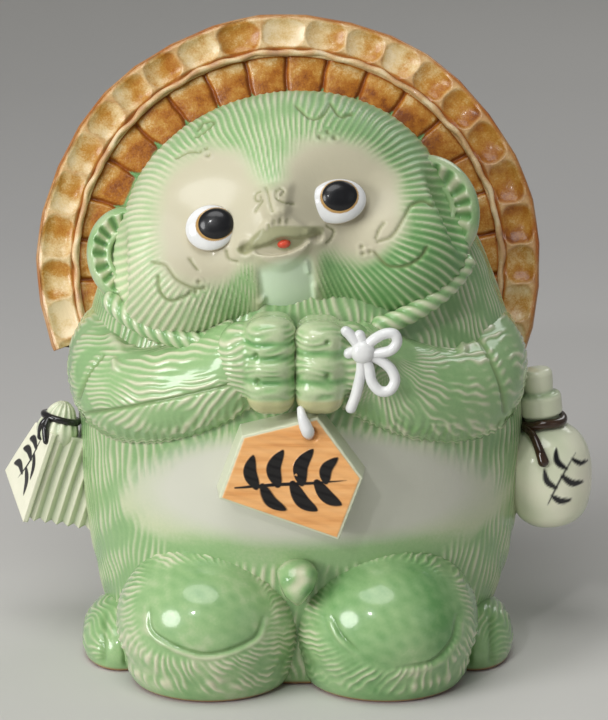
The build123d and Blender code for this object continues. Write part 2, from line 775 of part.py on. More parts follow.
right_pouch.part.label = "right_pouch"
left_pouch.part.label = "left_pouch"
pouch_tip.part.label = "pouch_tip"
right_foot.part.label = "right_foot"
left_foot.part.label = "left_foot"
tail.part.label = "tail"

export_step(body_shell.part, "parts/body_shell.step")
export_step(base_floor.part, "parts/base_floor.step")
export_step(head_shell.part, "parts/head_shell.step")
export_step(hat_brim.part, "parts/hat_brim.step")
export_step(hat_underside.part, "parts/hat_underside.step")
export_step(hat_crown.part, "parts/hat_crown.step")
export_step(hat_ring_cord.part, "parts/hat_ring_cord.step")
export_step(right_chin_cord.part, "parts/right_chin_cord.step")
export_step(left_chin_cord.part, "parts/left_chin_cord.step")
export_step(right_ear.part, "parts/right_ear.step")
export_step(left_ear.part, "parts/left_ear.step")
export_step(muzzle.part, "parts/muzzle.step")
export_step(nose.part, "parts/nose.step")
export_step(lower_lip.part, "parts/lower_lip.step")
export_step(tongue.part, "parts/tongue.step")
export_step(throat.part, "parts/throat.step")
export_step(right_eye_white.part, "parts/right_eye_white.step")
export_step(left_eye_white.part, "parts/left_eye_white.step")
export_step(right_pupil.part, "parts/right_pupil.step")
export_step(left_pupil.part, "parts/left_pupil.step")
export_step(right_arm.part, "parts/right_arm.step")
export_step(left_arm.part, "parts/left_arm.step")
export_step(right_paw.part, "parts/right_paw.step")
export_step(left_paw.part, "parts/left_paw.step")
export_step(wrist_bow.part, "parts/wrist_bow.step")
export_step(plaque.part, "parts/plaque.step")
export_step(plaque_cord.part, "parts/plaque_cord.step")
export_step(flask_body.part, "parts/flask_body.step")
export_step(flask_neck.part, "parts/flask_neck.step")
export_step(flask_tie.part, "parts/flask_tie.step")
export_step(ledger.part, "parts/ledger.step")
export_step(ledger_tie.part, "parts/ledger_tie.step")
export_step(right_pouch.part, "parts/right_pouch.step")
export_step(left_pouch.part, "parts/left_pouch.step")
export_step(pouch_tip.part, "parts/pouch_tip.step")
export_step(right_foot.part, "parts/right_foot.step")
export_step(left_foot.part, "parts/left_foot.step")
export_step(tail.part, "parts/tail.step")
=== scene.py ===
import math

import bpy
import numpy as np
import openvdb as vdb
from mathutils import Matrix


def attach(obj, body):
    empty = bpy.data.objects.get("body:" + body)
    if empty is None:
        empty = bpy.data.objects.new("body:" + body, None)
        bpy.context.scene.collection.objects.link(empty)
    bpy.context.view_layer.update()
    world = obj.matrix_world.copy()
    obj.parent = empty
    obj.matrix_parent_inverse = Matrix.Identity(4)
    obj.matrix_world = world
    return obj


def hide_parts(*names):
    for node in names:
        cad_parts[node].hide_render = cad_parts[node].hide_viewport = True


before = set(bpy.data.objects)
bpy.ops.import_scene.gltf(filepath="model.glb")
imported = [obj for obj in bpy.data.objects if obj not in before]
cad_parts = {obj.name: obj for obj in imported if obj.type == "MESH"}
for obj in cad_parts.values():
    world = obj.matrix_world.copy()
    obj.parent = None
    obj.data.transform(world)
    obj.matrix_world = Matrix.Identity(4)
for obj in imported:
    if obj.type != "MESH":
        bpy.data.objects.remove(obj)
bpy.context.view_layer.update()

# Shapes are worked out in mm and scaled to metres when a mesh is made
MM = 0.001
TAU = 2.0 * math.pi
PHOTO_WIDTH = 608
PHOTO_HEIGHT = 720


def unit(vector):
    vector = np.asarray(vector, float)
    return vector / np.linalg.norm(vector)


# Camera: 15 degrees above the horizon, straight in front
ELEVATION = math.radians(15.0)
TARGET = np.array([2.5, 0.0, 113.0])
DISTANCE = 1000.0
MM_PER_PIXEL = 0.387
FOCAL = DISTANCE / MM_PER_PIXEL
SIDE = np.array([1.0, 0.0, 0.0])
DEEP = np.array([0.0, 1.0, 0.0])
UP = np.array([0.0, 0.0, 1.0])
VIEW = DEEP * math.cos(ELEVATION) - UP * math.sin(ELEVATION)
VIEW_UP = DEEP * math.sin(ELEVATION) + UP * math.cos(ELEVATION)
EYE = TARGET - VIEW * DISTANCE

# Frames of the hat and the face, as in the solids
HAT_LEAN = math.radians(20.0)
HEAD_ROLL = math.radians(12.0)
HAT_UP = DEEP * math.sin(HAT_LEAN) + UP * math.cos(HAT_LEAN)
HAT_FRONT = UP * math.sin(HAT_LEAN) - DEEP * math.cos(HAT_LEAN)
HAT_CENTRE = np.array([-3.5, 30.0, 145.0])
HEAD_ASIDE = -1.5
HEAD_RISE = 10.0
HEAD_FORWARD = 50.0
HEAD_CENTRE = HAT_CENTRE + SIDE * HEAD_ASIDE + HAT_UP * HEAD_RISE + HAT_FRONT * HEAD_FORWARD
FACE_X = SIDE * math.cos(HEAD_ROLL) + HAT_UP * math.sin(HEAD_ROLL)
FACE_Y = np.cross(HAT_FRONT, FACE_X)
FACE_AXES = (FACE_X, FACE_Y, HAT_FRONT)
HEAD_WIDE = 61.5
HEAD_HIGH = 48.0

# Steps of the search along a line of sight, in mm
PIN_START = 850.0
PIN_TRIES = 160
PIN_GAP = 0.02
PIN_STRIDE = 0.6

# Limits of divisions, searches, fields and noise
TINY = 1e-9
SMALL = 1e-6
FAR = 1e9
SKIN_BAND = 3.0
NO_TRIS = np.zeros((0, 3), np.int64)
LUMP_WAVES = 7
LUMP_SCALE = 2.6

# Shine and fine bumps that all glazes share, the bumps in metres
SPECULAR = 0.3
COAT_ROUGHNESS = 0.08
BUMP_DEPTH = 0.0006


# Photo position of points, in pixels
def photo(points):
    away = points - EYE
    depth = away @ VIEW
    px = PHOTO_WIDTH / 2 + FOCAL * (away @ SIDE) / depth
    py = PHOTO_HEIGHT / 2 - FOCAL * (away @ VIEW_UP) / depth
    return px, py


# Line of sight through a pixel
def sight(px, py):
    return VIEW + SIDE * (px - PHOTO_WIDTH / 2) / FOCAL - VIEW_UP * (py - PHOTO_HEIGHT / 2) / FOCAL


# Point on the line of sight through a pixel, at one depth
def at_depth(pixel, depth):
    ray = sight(*pixel)
    return EYE + ray * ((depth - EYE[1]) / ray[1])


# First point of a form on the line of sight through a pixel
def pin(field, pixel, lift=0.0):
    ray = unit(sight(*pixel))
    along = PIN_START
    for _ in range(PIN_TRIES):
        gap = float(field(*(EYE + ray * along))) - lift
        if gap < PIN_GAP:
            break
        along += max(PIN_STRIDE * gap, PIN_GAP)
    return EYE + ray * along


# Bell curve: 1 in the middle and small past a width
def bell(gap, width):
    return np.exp(-((gap / width) ** 2))


# Value kept between 0 and 1
def held(value):
    return np.clip(value, 0.0, 1.0)


# Smooth joins of distance fields
def smin(a, b, size):
    share = held(0.5 + 0.5 * (b - a) / size)
    return b + (a - b) * share - size * share * (1.0 - share)


def smax(a, b, size):
    return -smin(-a, -b, size)


# Smooth step, from 0 at the first limit to 1 at the second
def step_up(low, high, value):
    share = held((value - low) / (high - low))
    return share * share * (3.0 - 2.0 * share)


# Coordinates along three axes from an origin
def local(x, y, z, origin, axes):
    dx, dy, dz = x - origin[0], y - origin[1], z - origin[2]
    return [dx * axis[0] + dy * axis[1] + dz * axis[2] for axis in axes]


# Distance to an ellipsoid, true near its surface
def ellipsoid(p, q, s, centre, radii):
    a, b, c = (p - centre[0]) / radii[0], (q - centre[1]) / radii[1], (s - centre[2]) / radii[2]
    far = np.sqrt(a * a + b * b + c * c)
    slope = np.sqrt((a / radii[0]) ** 2 + (b / radii[1]) ** 2 + (c / radii[2]) ** 2)
    return far * (far - 1.0) / np.maximum(slope, SMALL)


# Distance to a box with round edges
def round_box(p, q, s, half, radius):
    a = np.abs(p) - (half[0] - radius)
    b = np.abs(q) - (half[1] - radius)
    c = np.abs(s) - (half[2] - radius)
    outside = np.sqrt(np.maximum(a, 0) ** 2 + np.maximum(b, 0) ** 2 + np.maximum(c, 0) ** 2)
    return outside + np.minimum(np.maximum(a, np.maximum(b, c)), 0.0) - radius


# Distance and outward direction of a field at points
def probe(field, points):
    reach = 0.05
    x, y, z = points.T
    slope = np.stack(
        [
            field(x + reach, y, z) - field(x - reach, y, z),
            field(x, y + reach, z) - field(x, y - reach, z),
            field(x, y, z + reach) - field(x, y, z - reach),
        ],
        axis=1,
    ) / (2.0 * reach)
    steep = np.maximum(np.linalg.norm(slope, axis=1), SMALL)
    return field(x, y, z) / steep, slope / steep[:, None]


# Skin of a field inside a box
def skin(field, low, high, step):
    low = np.asarray(low, float)
    counts = np.ceil((np.asarray(high, float) - low) / step).astype(int) + 1
    x, y, z = (low[i] + step * np.arange(counts[i], dtype=np.float32) for i in range(3))
    distance = field(x[:, None, None], y[None, :, None], z[None, None, :]) / step
    volume = vdb.FloatGrid(SKIN_BAND)
    volume.copyFromArray(np.clip(distance, -SKIN_BAND, SKIN_BAND).astype(np.float32))
    points, quads = volume.convertToQuads(isovalue=0.0)
    points = low + step * points.astype(float)
    for _ in range(2):
        gap, normal = probe(field, points)
        points = points - np.clip(gap, -step, step)[:, None] * normal
    gap, normal = probe(field, points)
    return points, quads.astype(np.int64), normal


# Repeatable soft noise between about -1 and 1, with lumps of one size in mm
def lumps(points, size, seed):
    chance = np.random.default_rng(seed)
    total = np.zeros(len(points))
    for _ in range(LUMP_WAVES):
        way = unit(chance.normal(size=3)) * TAU / (size * chance.uniform(0.7, 1.5))
        total += np.sin(points @ way + chance.uniform(0.0, TAU))
    return total / LUMP_SCALE


# Combed grooves: 0 on a ridge and 1 in a groove, once per whole number
def comb(phase):
    return 0.5 + 0.5 * np.cos(TAU * phase)


# Thin strands of fur: 1 on each strand and 0 between them, once per whole number
def strands(phase, width=0.22):
    off = np.abs((phase + 0.5) % 1.0 - 0.5)
    return bell(off, width)


# Smooth line through points
def spline(points, count, closed=False):
    points = np.asarray(points, float)
    total = len(points)
    if closed:
        ext = np.concatenate([points[-1:], points, points[:2]])
        spans = total
    else:
        ext = np.concatenate([2 * points[:1] - points[1:2], points, 2 * points[-1:] - points[-2:-1]])
        spans = total - 1
    at = np.linspace(0.0, spans, count, endpoint=not closed)
    index = np.minimum(at.astype(int), spans - 1)
    t = (at - index)[:, None]
    a, b, c, d = (ext[index + k] for k in range(4))
    return 0.5 * (2 * b + (c - a) * t + (2 * a - 5 * b + 4 * c - d) * t**2 + (3 * b - a - 3 * c + d) * t**3)


# Gap of points from each stretch of a line, and the share of the line's length there
def stretches(px, py, line):
    spans = len(line) - 1
    for index in range(spans):
        ax, ay = line[index]
        rx, ry = line[index + 1] - line[index]
        t = held(((px - ax) * rx + (py - ay) * ry) / (rx * rx + ry * ry + TINY))
        yield np.hypot(px - ax - t * rx, py - ay - t * ry), (index + t) / spans


# Smooth line through points, or the straight one between two
def smooth_line(line, count):
    return spline(line, count) if len(line) > 2 else np.asarray(line, float)


# How near points of the photo lie to a drawn line, 1 on it and small past a width, and the share along it
def drawn(px, py, line, width):
    nearest = np.full(px.shape, FAR)
    share = np.zeros(px.shape)
    for gap, along in stretches(px, py, smooth_line(line, 40)):
        closer = gap < nearest
        nearest = np.where(closer, gap, nearest)
        share = np.where(closer, along, share)
    return bell(nearest, width), share


# Strongest of several drawn lines
def drawn_all(px, py, lines):
    best = np.zeros(px.shape)
    for line, width in lines:
        best = np.maximum(best, drawn(px, py, line, width)[0])
    return best


# Distance in pixels outside a closed outline in the photo, negative inside it
def outline_gap(px, py, corners):
    route = spline(corners, 6 * len(corners), closed=True)
    route = np.concatenate([route, route[:1]])
    nearest = np.full(px.shape, FAR)
    for gap, _ in stretches(px, py, route):
        nearest = np.minimum(nearest, gap)
    inside = np.zeros(px.shape, bool)
    for (ax, ay), (bx, by) in zip(route, route[1:]):
        rise = by - ay if abs(by - ay) > TINY else TINY
        inside ^= ((ay > py) != (by > py)) & (px < ax + (bx - ax) * (py - ay) / rise)
    return np.where(inside, -nearest, nearest)


# Brush strokes of leaves: each is a line with a thick middle
def leaves(u, v, strokes, soft):
    ink = np.zeros(u.shape)
    for line, width in strokes:
        nearest = np.full(u.shape, FAR)
        for gap, along in stretches(u, v, smooth_line(line, 24)):
            thick = width * np.sin(math.pi * held(0.12 + 0.88 * along)) ** 0.7
            nearest = np.minimum(nearest, gap - thick)
        ink = np.maximum(ink, step_up(soft, -soft, nearest))
    return ink


# Bare clay where a piece stands on the ground
def bare_foot(points):
    return step_up(2.2, 0.6, points[:, 2])


# Values on a grid of points, then those on the middle points of its two caps
def capped(values, first=0.0, last=0.0):
    return np.concatenate([values.ravel(), [first, last]])


# Grid of points as faces that look outward: columns closed to a ring, and both ends closed by a fan
def wrap(rows, caps=True):
    count, across = rows.shape[:2]
    points = rows.reshape(-1, 3)
    i = across * np.arange(count - 1)[:, None]
    j = np.arange(across)
    k = (j + 1) % across
    quads = np.stack([i + j, i + k, i + across + k, i + across + j], axis=-1).reshape(-1, 4)
    tris = NO_TRIS
    if caps:
        points = np.concatenate([points, rows[:1].mean(axis=1), rows[-1:].mean(axis=1)])
        first, last = np.full((2, across), [[count * across], [count * across + 1]])
        end = across * (count - 1)
        tris = np.concatenate([np.stack([first, k, j], axis=1), np.stack([last, end + j, end + k], axis=1)])
    every = np.concatenate([quads[:, [0, 1, 2]], quads[:, [0, 2, 3]], tris])
    a, b, c = (points[every[:, n]] for n in range(3))
    if np.einsum("ij,ij->i", a, np.cross(b, c)).sum() < 0:
        return points, quads[:, ::-1], tris[:, ::-1]
    return points, quads, tris


# Outward direction at each point of a mesh
def normals(points, quads, tris):
    total = np.zeros_like(points)
    across = np.cross(points[quads[:, 2]] - points[quads[:, 0]], points[quads[:, 3]] - points[quads[:, 1]])
    for n in range(4):
        np.add.at(total, quads[:, n], across)
    across = np.cross(points[tris[:, 1]] - points[tris[:, 0]], points[tris[:, 2]] - points[tris[:, 0]])
    for n in range(3):
        np.add.at(total, tris[:, n], across)
    return total / np.maximum(np.linalg.norm(total, axis=1), TINY)[:, None]


# Directions across a path that turn as little as they can
def across_path(path, closed=False):
    ahead = np.roll(path, -1, axis=0) - np.roll(path, 1, axis=0)
    if not closed:
        ahead[0], ahead[-1] = path[1] - path[0], path[-1] - path[-2]
    ahead = ahead / np.linalg.norm(ahead, axis=1)[:, None]
    start = np.cross(ahead[0], UP)
    if np.linalg.norm(start) < 0.2:
        start = np.cross(ahead[0], DEEP)
    first = [unit(start)]
    for way in ahead[1:]:
        turned = first[-1] - way * (first[-1] @ way)
        first.append(unit(turned))
    first = np.array(first)
    return first, np.cross(ahead, first)


# Round bar along a path, blunt at its ends: its radius may change along it and round it
def bar(path, radius, sides, closed=False):
    first, second = across_path(path, closed)
    angle = TAU * np.arange(sides) / sides
    radius = np.broadcast_to(np.asarray(radius, float), (len(path), sides)).copy()
    if not closed:
        run = np.concatenate([[0.0], np.cumsum(np.linalg.norm(np.diff(path, axis=0), axis=1))])
        for end in (run, run[-1] - run):
            size = radius.mean(axis=1)
            inside = np.clip(1.0 - end / np.maximum(size, SMALL), 0.0, 0.985)
            radius *= np.sqrt(1.0 - inside**2)[:, None]
    rows = (
        path[:, None, :]
        + radius[:, :, None] * np.cos(angle)[None, :, None] * first[:, None, :]
        + radius[:, :, None] * np.sin(angle)[None, :, None] * second[:, None, :]
    )
    if closed:
        rows = np.concatenate([rows, rows[:1]])
    return wrap(rows, not closed)


# Piece of the scene from points in mm, with numbers kept at each point for its material
def piece(name, parts, material, slot, nodes=None, **marks):
    points, quads, tris = parts
    mesh = bpy.data.meshes.new(name)
    mesh.vertices.add(len(points))
    mesh.vertices.foreach_set("co", (points * MM).astype(np.float32).ravel())
    mesh.loops.add(4 * len(quads) + 3 * len(tris))
    mesh.loops.foreach_set("vertex_index", np.concatenate([quads.ravel(), tris.ravel()]).astype(np.int32))
    mesh.polygons.add(len(quads) + len(tris))
    starts = np.concatenate([4 * np.arange(len(quads)), 4 * len(quads) + 3 * np.arange(len(tris))])
    mesh.polygons.foreach_set("loop_start", starts.astype(np.int32))
    mesh.polygons.foreach_set("use_smooth", np.ones(len(starts), bool))
    mesh.update(calc_edges=True)
    mesh.validate()
    for key, values in marks.items():
        layer = mesh.attributes.new(key, "FLOAT", "POINT")
        layer.data.foreach_set("value", np.broadcast_to(values, len(points)).astype(np.float32))
    mesh.materials.append(material)
    thing = bpy.data.objects.new(name, mesh)
    bpy.context.scene.collection.objects.link(thing)
    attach(thing, "root")
    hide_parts(*(nodes or [name]))


# Several meshes as one
def joined(*parts):
    points, quads, tris = zip(*parts)
    bases = np.cumsum([0] + [len(each) for each in points[:-1]])
    quads = [each + base for each, base in zip(quads, bases)]
    tris = [each + base for each, base in zip(tris, bases)]
    return np.concatenate(points), np.concatenate(quads), np.concatenate(tris)


# Written colour, 0 to 255, as the shader reads it
def paint(red, green, blue):
    values = np.array([red, green, blue]) / 255.0
    linear = np.where(values <= 0.04045, values / 12.92, ((values + 0.055) / 1.055) ** 2.4)
    return (*[float(value) for value in linear], 1.0)


# Node material with a few helpers
class Finish:
    def __init__(self, name, roughness, coat=0.0, bump=0.0, grain=500.0):
        self.material = bpy.data.materials.new(name)
        self.material.use_nodes = True
        self.nodes = self.material.node_tree.nodes
        self.links = self.material.node_tree.links
        self.shader = self.nodes["Principled BSDF"]
        self.shader.inputs["Roughness"].default_value = roughness
        self.shader.inputs["Specular IOR Level"].default_value = SPECULAR
        self.shader.inputs["Coat Weight"].default_value = coat
        self.shader.inputs["Coat Roughness"].default_value = COAT_ROUGHNESS
        self.place = self.nodes.new("ShaderNodeTexCoord").outputs["Object"]
        if bump:
            raised = self.nodes.new("ShaderNodeBump")
            raised.inputs["Strength"].default_value = bump
            raised.inputs["Distance"].default_value = BUMP_DEPTH
            self.links.new(self.noise(grain, 2.0), raised.inputs["Height"])
            self.links.new(raised.outputs["Normal"], self.shader.inputs["Normal"])

    def mark(self, key, scale=1.0):
        node = self.nodes.new("ShaderNodeAttribute")
        node.attribute_name = key
        return self.math("MULTIPLY", node.outputs["Fac"], scale)

    def noise(self, scale, detail=3.0, rough=0.55):
        node = self.nodes.new("ShaderNodeTexNoise")
        node.inputs["Scale"].default_value = scale
        node.inputs["Detail"].default_value = detail
        node.inputs["Roughness"].default_value = rough
        self.links.new(self.place, node.inputs["Vector"])
        return node.outputs["Fac"]

    def math(self, kind, first, second, third=0.0):
        node = self.nodes.new("ShaderNodeMath")
        node.operation = kind
        for socket, value in zip(node.inputs, (first, second, third)):
            if isinstance(value, (int, float)):
                socket.default_value = value
            else:
                self.links.new(value, socket)
        return node.outputs[0]

    def spread(self, value, low, high):
        node = self.nodes.new("ShaderNodeMapRange")
        node.inputs["From Min"].default_value = low
        node.inputs["From Max"].default_value = high
        self.links.new(value, node.inputs["Value"])
        return node.outputs["Result"]

    def ramp(self, value, stops):
        node = self.nodes.new("ShaderNodeValToRGB")
        band = node.color_ramp
        while len(band.elements) < len(stops):
            band.elements.new(0.5)
        for element, (place, colour) in zip(band.elements, stops):
            element.position = place
            element.color = paint(*colour)
        self.links.new(value, node.inputs["Fac"])
        return node.outputs["Color"]

    def layer(self, base, share, colour):
        node = self.nodes.new("ShaderNodeMix")
        node.data_type = "RGBA"
        self.links.new(share, node.inputs["Factor"])
        self.links.new(base, node.inputs[6])
        node.inputs[7].default_value = paint(*colour)
        return node.outputs[2]

    # Colours laid over the base where marks say so: name of the mark, its strength and the colour
    def layers(self, base, rows):
        for key, scale, colour in rows:
            base = self.layer(base, self.mark(key, scale), colour)
        return base

    def colour(self, value):
        self.links.new(value, self.shader.inputs["Base Color"])
        return self.material


# Green glaze: dark where it pools, cream where it breaks on ridges, paler where it was wiped
GREEN_STOPS = (
    (0.0, (212, 211, 180)),
    (0.25, (190, 200, 162)),
    (0.55, (148, 181, 126)),
    (1.0, (100, 149, 88)),
)
GREEN_LAYERS = (
    ("line", 0.75, (128, 132, 88)),
    ("mint", 0.9, (210, 229, 203)),
    ("warm", 0.8, (190, 165, 105)),
    ("foot", 1.0, (150, 92, 56)),
)


def green_glaze(name, bare=(214, 209, 186), roughness=0.24, coat=0.55):
    finish = Finish(name, roughness, coat=coat, bump=0.10, grain=420.0)
    fleck = finish.math("MULTIPLY_ADD", finish.noise(900.0, 2.0), 0.16, finish.mark("pool"))
    level = finish.math("MULTIPLY_ADD", finish.noise(38.0, 4.0), 0.34, fleck)
    base = finish.ramp(finish.math("ADD", level, -0.25), GREEN_STOPS)
    pale = finish.mark("pale")
    cloud = finish.math("MULTIPLY_ADD", finish.noise(60.0, 3.0), 0.3, finish.math("ADD", pale, -0.15))
    share = finish.math("MULTIPLY", finish.spread(cloud, 0.05, 0.95), finish.spread(pale, 0.0, 0.12))
    return finish.colour(finish.layers(finish.layer(base, share, bare), GREEN_LAYERS))


celadon = green_glaze("celadon_glaze_finish")
celadon_face = green_glaze("face_glaze_finish", (192, 186, 160), 0.38, 0.1)
celadon_belly = green_glaze("belly_glaze_finish", (204, 204, 189))

# Hat: cream to rust brown in blotches and specks, orange on edges, cream on the ridges, green by the head
HAT_STOPS = (
    (0.0, (228, 206, 168)),
    (0.25, (214, 184, 132)),
    (0.5, (186, 134, 60)),
    (0.75, (164, 100, 30)),
    (1.0, (124, 66, 24)),
)
HAT_LAYERS = (("pale", 0.7, (232, 214, 184)), ("edge", 0.85, (160, 88, 34)), ("moss", 1.0, (122, 166, 110)))


def hat_finish(name, shift, blotch):
    finish = Finish(name, 0.28, coat=0.12, bump=0.22, grain=900.0)
    fleck = finish.math("MULTIPLY_ADD", finish.noise(1500.0, 2.0, 0.7), 0.5, finish.mark("pool"))
    level = finish.math("MULTIPLY_ADD", finish.noise(blotch, 4.0, 0.65), 1.1, fleck)
    base = finish.ramp(finish.math("ADD", level, shift), HAT_STOPS)
    return finish.colour(finish.layers(base, HAT_LAYERS))


hat_outer = hat_finish("hat_brim_finish", -0.50, 130.0)
hat_inner = hat_finish("hat_underside_finish", -0.17, 220.0)
hat_back = hat_finish("hat_crown_finish", -0.45, 90.0)


# Glaze that drifts between two colours
def plain_glaze(name, first, second, scale, roughness=0.12, coat=0.4, grain=600.0, layers=()):
    finish = Finish(name, roughness, coat=coat, bump=0.06, grain=grain)
    base = finish.ramp(finish.noise(scale, 4.0), ((0.3, first), (0.7, second)))
    return finish.colour(finish.layers(base, layers))


# The same with green pools and brush marks on it
def inked_glaze(name, first, second, ink, scale):
    layers = (("pool", 0.8, (132, 160, 116)), ("ink", 1.0, ink))
    return plain_glaze(name, first, second, scale, roughness=0.14, layers=layers)


white_glaze = inked_glaze("white_glaze_finish", (228, 228, 225), (212, 213, 212), (176, 140, 86), 120.0)
flask_glaze = inked_glaze("flask_glaze_finish", (240, 236, 214), (226, 230, 200), (24, 24, 26), 40.0)
ledger_glaze = inked_glaze("ledger_glaze_finish", (242, 239, 216), (230, 230, 204), (34, 32, 32), 50.0)
black_glaze = plain_glaze("black_glaze_finish", (16, 16, 18), (26, 26, 28), 240.0, 0.3, 0.25)
red_glaze = plain_glaze("red_glaze_finish", (206, 66, 44), (222, 92, 66), 300.0)
brown_glaze = plain_glaze("brown_glaze_finish", (38, 24, 16), (66, 44, 28), 160.0, 0.08, 0.6)
bare_clay = plain_glaze("bare_clay_finish", (176, 128, 96), (150, 104, 76), 220.0, 0.8, 0.0, 900.0)

# Plaque: orange wood-like glaze with grain along its foot, pale glazed sides, black brush marks
PLAQUE_TURN = math.radians(-20.0)
PLAQUE_STOPS = ((0.3, (240, 184, 122)), (0.55, (231, 170, 106)), (0.75, (212, 146, 84)))
PLAQUE_LAYERS = (("pale", 1.0, (206, 210, 182)), ("ink", 1.0, (24, 22, 22)))
GRAIN_SCALE = (30.0, 30.0, 420.0)


def plaque_finish():
    finish = Finish("plaque_glaze_finish", 0.3, coat=0.15, bump=0.08, grain=500.0)
    turn = finish.nodes.new("ShaderNodeMapping")
    turn.inputs["Rotation"].default_value = (0.0, PLAQUE_TURN, 0.0)
    turn.inputs["Scale"].default_value = GRAIN_SCALE
    finish.links.new(finish.place, turn.inputs["Vector"])
    grain = finish.nodes.new("ShaderNodeTexNoise")
    grain.inputs["Scale"].default_value = 1.0
    grain.inputs["Detail"].default_value = 4.0
    finish.links.new(turn.outputs["Vector"], grain.inputs["Vector"])
    base = finish.ramp(grain.outputs["Fac"], PLAQUE_STOPS)
    return finish.colour(finish.layers(base, PLAQUE_LAYERS))


plaque_glaze = plaque_finish()

# Trunk of stacked ellipses
BODY_WIDE = 85.0
BODY_DEEP = 69.0
BODY_SHIFT = 4.0
BELLY_HEIGHT = 88.0
LOWER_DOME = 160.0
UPPER_DOME = 125.0
LEAST_SHARE = 0.05


# Width of the trunk at a height, as a share of its widest
def trunk_share(z):
    dome = np.where(z < BELLY_HEIGHT, LOWER_DOME, UPPER_DOME)
    return np.sqrt(np.maximum(1.0 - ((z - BELLY_HEIGHT) / dome) ** 2, LEAST_SHARE))


# Head with its cheeks, sockets, muzzle, mouth and throat: places across, up and forward on the face, in mm
FACE_MID = -3.6
SKULL_SIZE = (HEAD_WIDE - 0.7, HEAD_HIGH - 0.6, HEAD_HIGH)
HEAD_BACK = -52.0
CHEEKS = ((-40.0, -13.9, 13.0), (36.9, -19.2, 13.0))
CHEEK_SIZE = 28.5
CHEEK_BLEND = 9.0
SOCKETS = ((-28.5, -1.5), (21.5, -2.5))
SOCKET_SIZE = (17.0, 15.0)
SOCKET_DEPTH = 3.0
MUZZLE_SIZE = (17.0, 14.5)
MUZZLE_DROP = 9.0
MUZZLE_RISE = 4.6
BRIDGE_WIDTH = 11.0
BRIDGE_RISE = 1.7
NOSE_HALF = 5.2
NOSE_RISE = 2.6
BEAK_HALF = 4.4
BEAK_RISE = 1.7
MOUTH_HALF = 14.0
MOUTH_SINK = 0.3
MOUTH_SQUEEZE = 1.1
LIP_HALF = 9.5
LIP_RISE = 2.3
THROAT_HALF = 9.6
THROAT_SINK = 1.5
MOUTH_CORNERS = ((-16.8, -14.0), (9.1, -14.8))
CORNER_DEPTH = 2.0
CORNER_SIZE = 1.7
CORNER_RIM = 0.7
EAR_SCOOPS = (((-69.0, -5.0, 24.0), (11.0, 19.0, 11.0)), ((63.0, -10.0, 25.0), (10.0, 19.0, 11.0)))
SCOOP_BLEND = 5.0


# Distance from the middle line of the face, which slants a little
def off_middle(p, q):
    return p + 2.6 - 0.075 * q


# Heights of the upper lip's edge, the lower lip's edge and the chin's edge
def lip_lines(mid):
    upper = -15.0 + 1.3 * bell(mid, 4.5) + 0.003 * mid * mid
    lower = -19.0 + 0.021 * mid * mid
    chin = -23.7 + 0.046 * mid * mid
    return upper, lower, chin


# Distance from the middle line, then shares of the nose, upper lip, mouth, lower lip and throat
def features(p, q):
    mid = off_middle(p, q)
    aside = np.abs(mid)
    broad = MOUTH_SQUEEZE * aside
    upper, lower, chin = lip_lines(MOUTH_SQUEEZE * mid)
    nose_half = NOSE_HALF + 0.30 * np.clip(q, -6.5, 5.0)
    nose = step_up(2.0, -1.6, aside - nose_half) * step_up(7.0, 3.0, q) * step_up(-9.0, -4.5, q)
    flare = BEAK_HALF + 1.1 * np.clip(-6.0 - q, 0.0, 10.0)
    beak = step_up(2.2, -1.6, broad - flare) * step_up(-2.5, -7.0, q) * step_up(upper - 0.5, upper + 0.6, q)
    mouth = step_up(upper + 0.6, upper - 0.4, q) * step_up(lower - 0.5, lower + 0.5, q)
    mouth = mouth * step_up(MOUTH_HALF + 2.5, MOUTH_HALF, broad)
    lip = step_up(lower + 0.5, lower - 0.7, q) * step_up(chin - 1.6, chin + 1.6, q)
    lip = lip * step_up(LIP_HALF + 4.0, LIP_HALF, broad)
    throat = step_up(1.8, -1.4, aside - THROAT_HALF) * step_up(-19.5, -24.0, q)
    return mid, nose, beak, mouth, lip, throat


def face_field(p, q, s):
    solid = ellipsoid(p, q, np.maximum(s, 0.0), (0.0, 0.0, 0.0), SKULL_SIZE)
    for across, up, forward in CHEEKS:
        cheek = np.sqrt((p - across) ** 2 + (q - up) ** 2 + (s - forward) ** 2) - CHEEK_SIZE
        solid = smin(solid, cheek, CHEEK_BLEND)
    height = np.zeros(np.broadcast(p, q).shape)
    for across, up in SOCKETS:
        near = ((p - across) / SOCKET_SIZE[0]) ** 2 + ((q - up) / SOCKET_SIZE[1]) ** 2
        height = height - SOCKET_DEPTH * np.exp(-(near**1.5))
    mid, nose, beak, mouth, lip, throat = features(p, q)
    mound = np.exp(-(((mid / MUZZLE_SIZE[0]) ** 2 + ((q + MUZZLE_DROP) / MUZZLE_SIZE[1]) ** 2) ** 1.4))
    bridge = bell(mid, BRIDGE_WIDTH) * step_up(26.0, 6.0, q) * step_up(-12.0, 0.0, q)
    height = height + MUZZLE_RISE * mound + BRIDGE_RISE * bridge
    height = height + nose * (NOSE_RISE - 0.16 * np.abs(mid) - 0.06 * q)
    height = height + beak * (BEAK_RISE + 0.5 * step_up(-8.0, -14.5, q) - 0.005 * mid * mid)
    height = height - MOUTH_SINK * mouth + lip * (LIP_RISE - 0.008 * mid * mid)
    height = height - throat * (THROAT_SINK - 1.1 * held(1.0 - (mid / 9.0) ** 2))
    for across, up in MOUTH_CORNERS:
        far = np.hypot(p - across, q - up)
        height = height - CORNER_DEPTH * bell(far, CORNER_SIZE) + CORNER_RIM * bell(far - 3.0, 1.3)
    solid = solid - height * step_up(2.0, 24.0, s)
    for place, size in EAR_SCOOPS:
        solid = smax(solid, -ellipsoid(p, q, s, place, size), SCOOP_BLEND)
    return smax(solid, HEAD_BACK - s, 1.5)


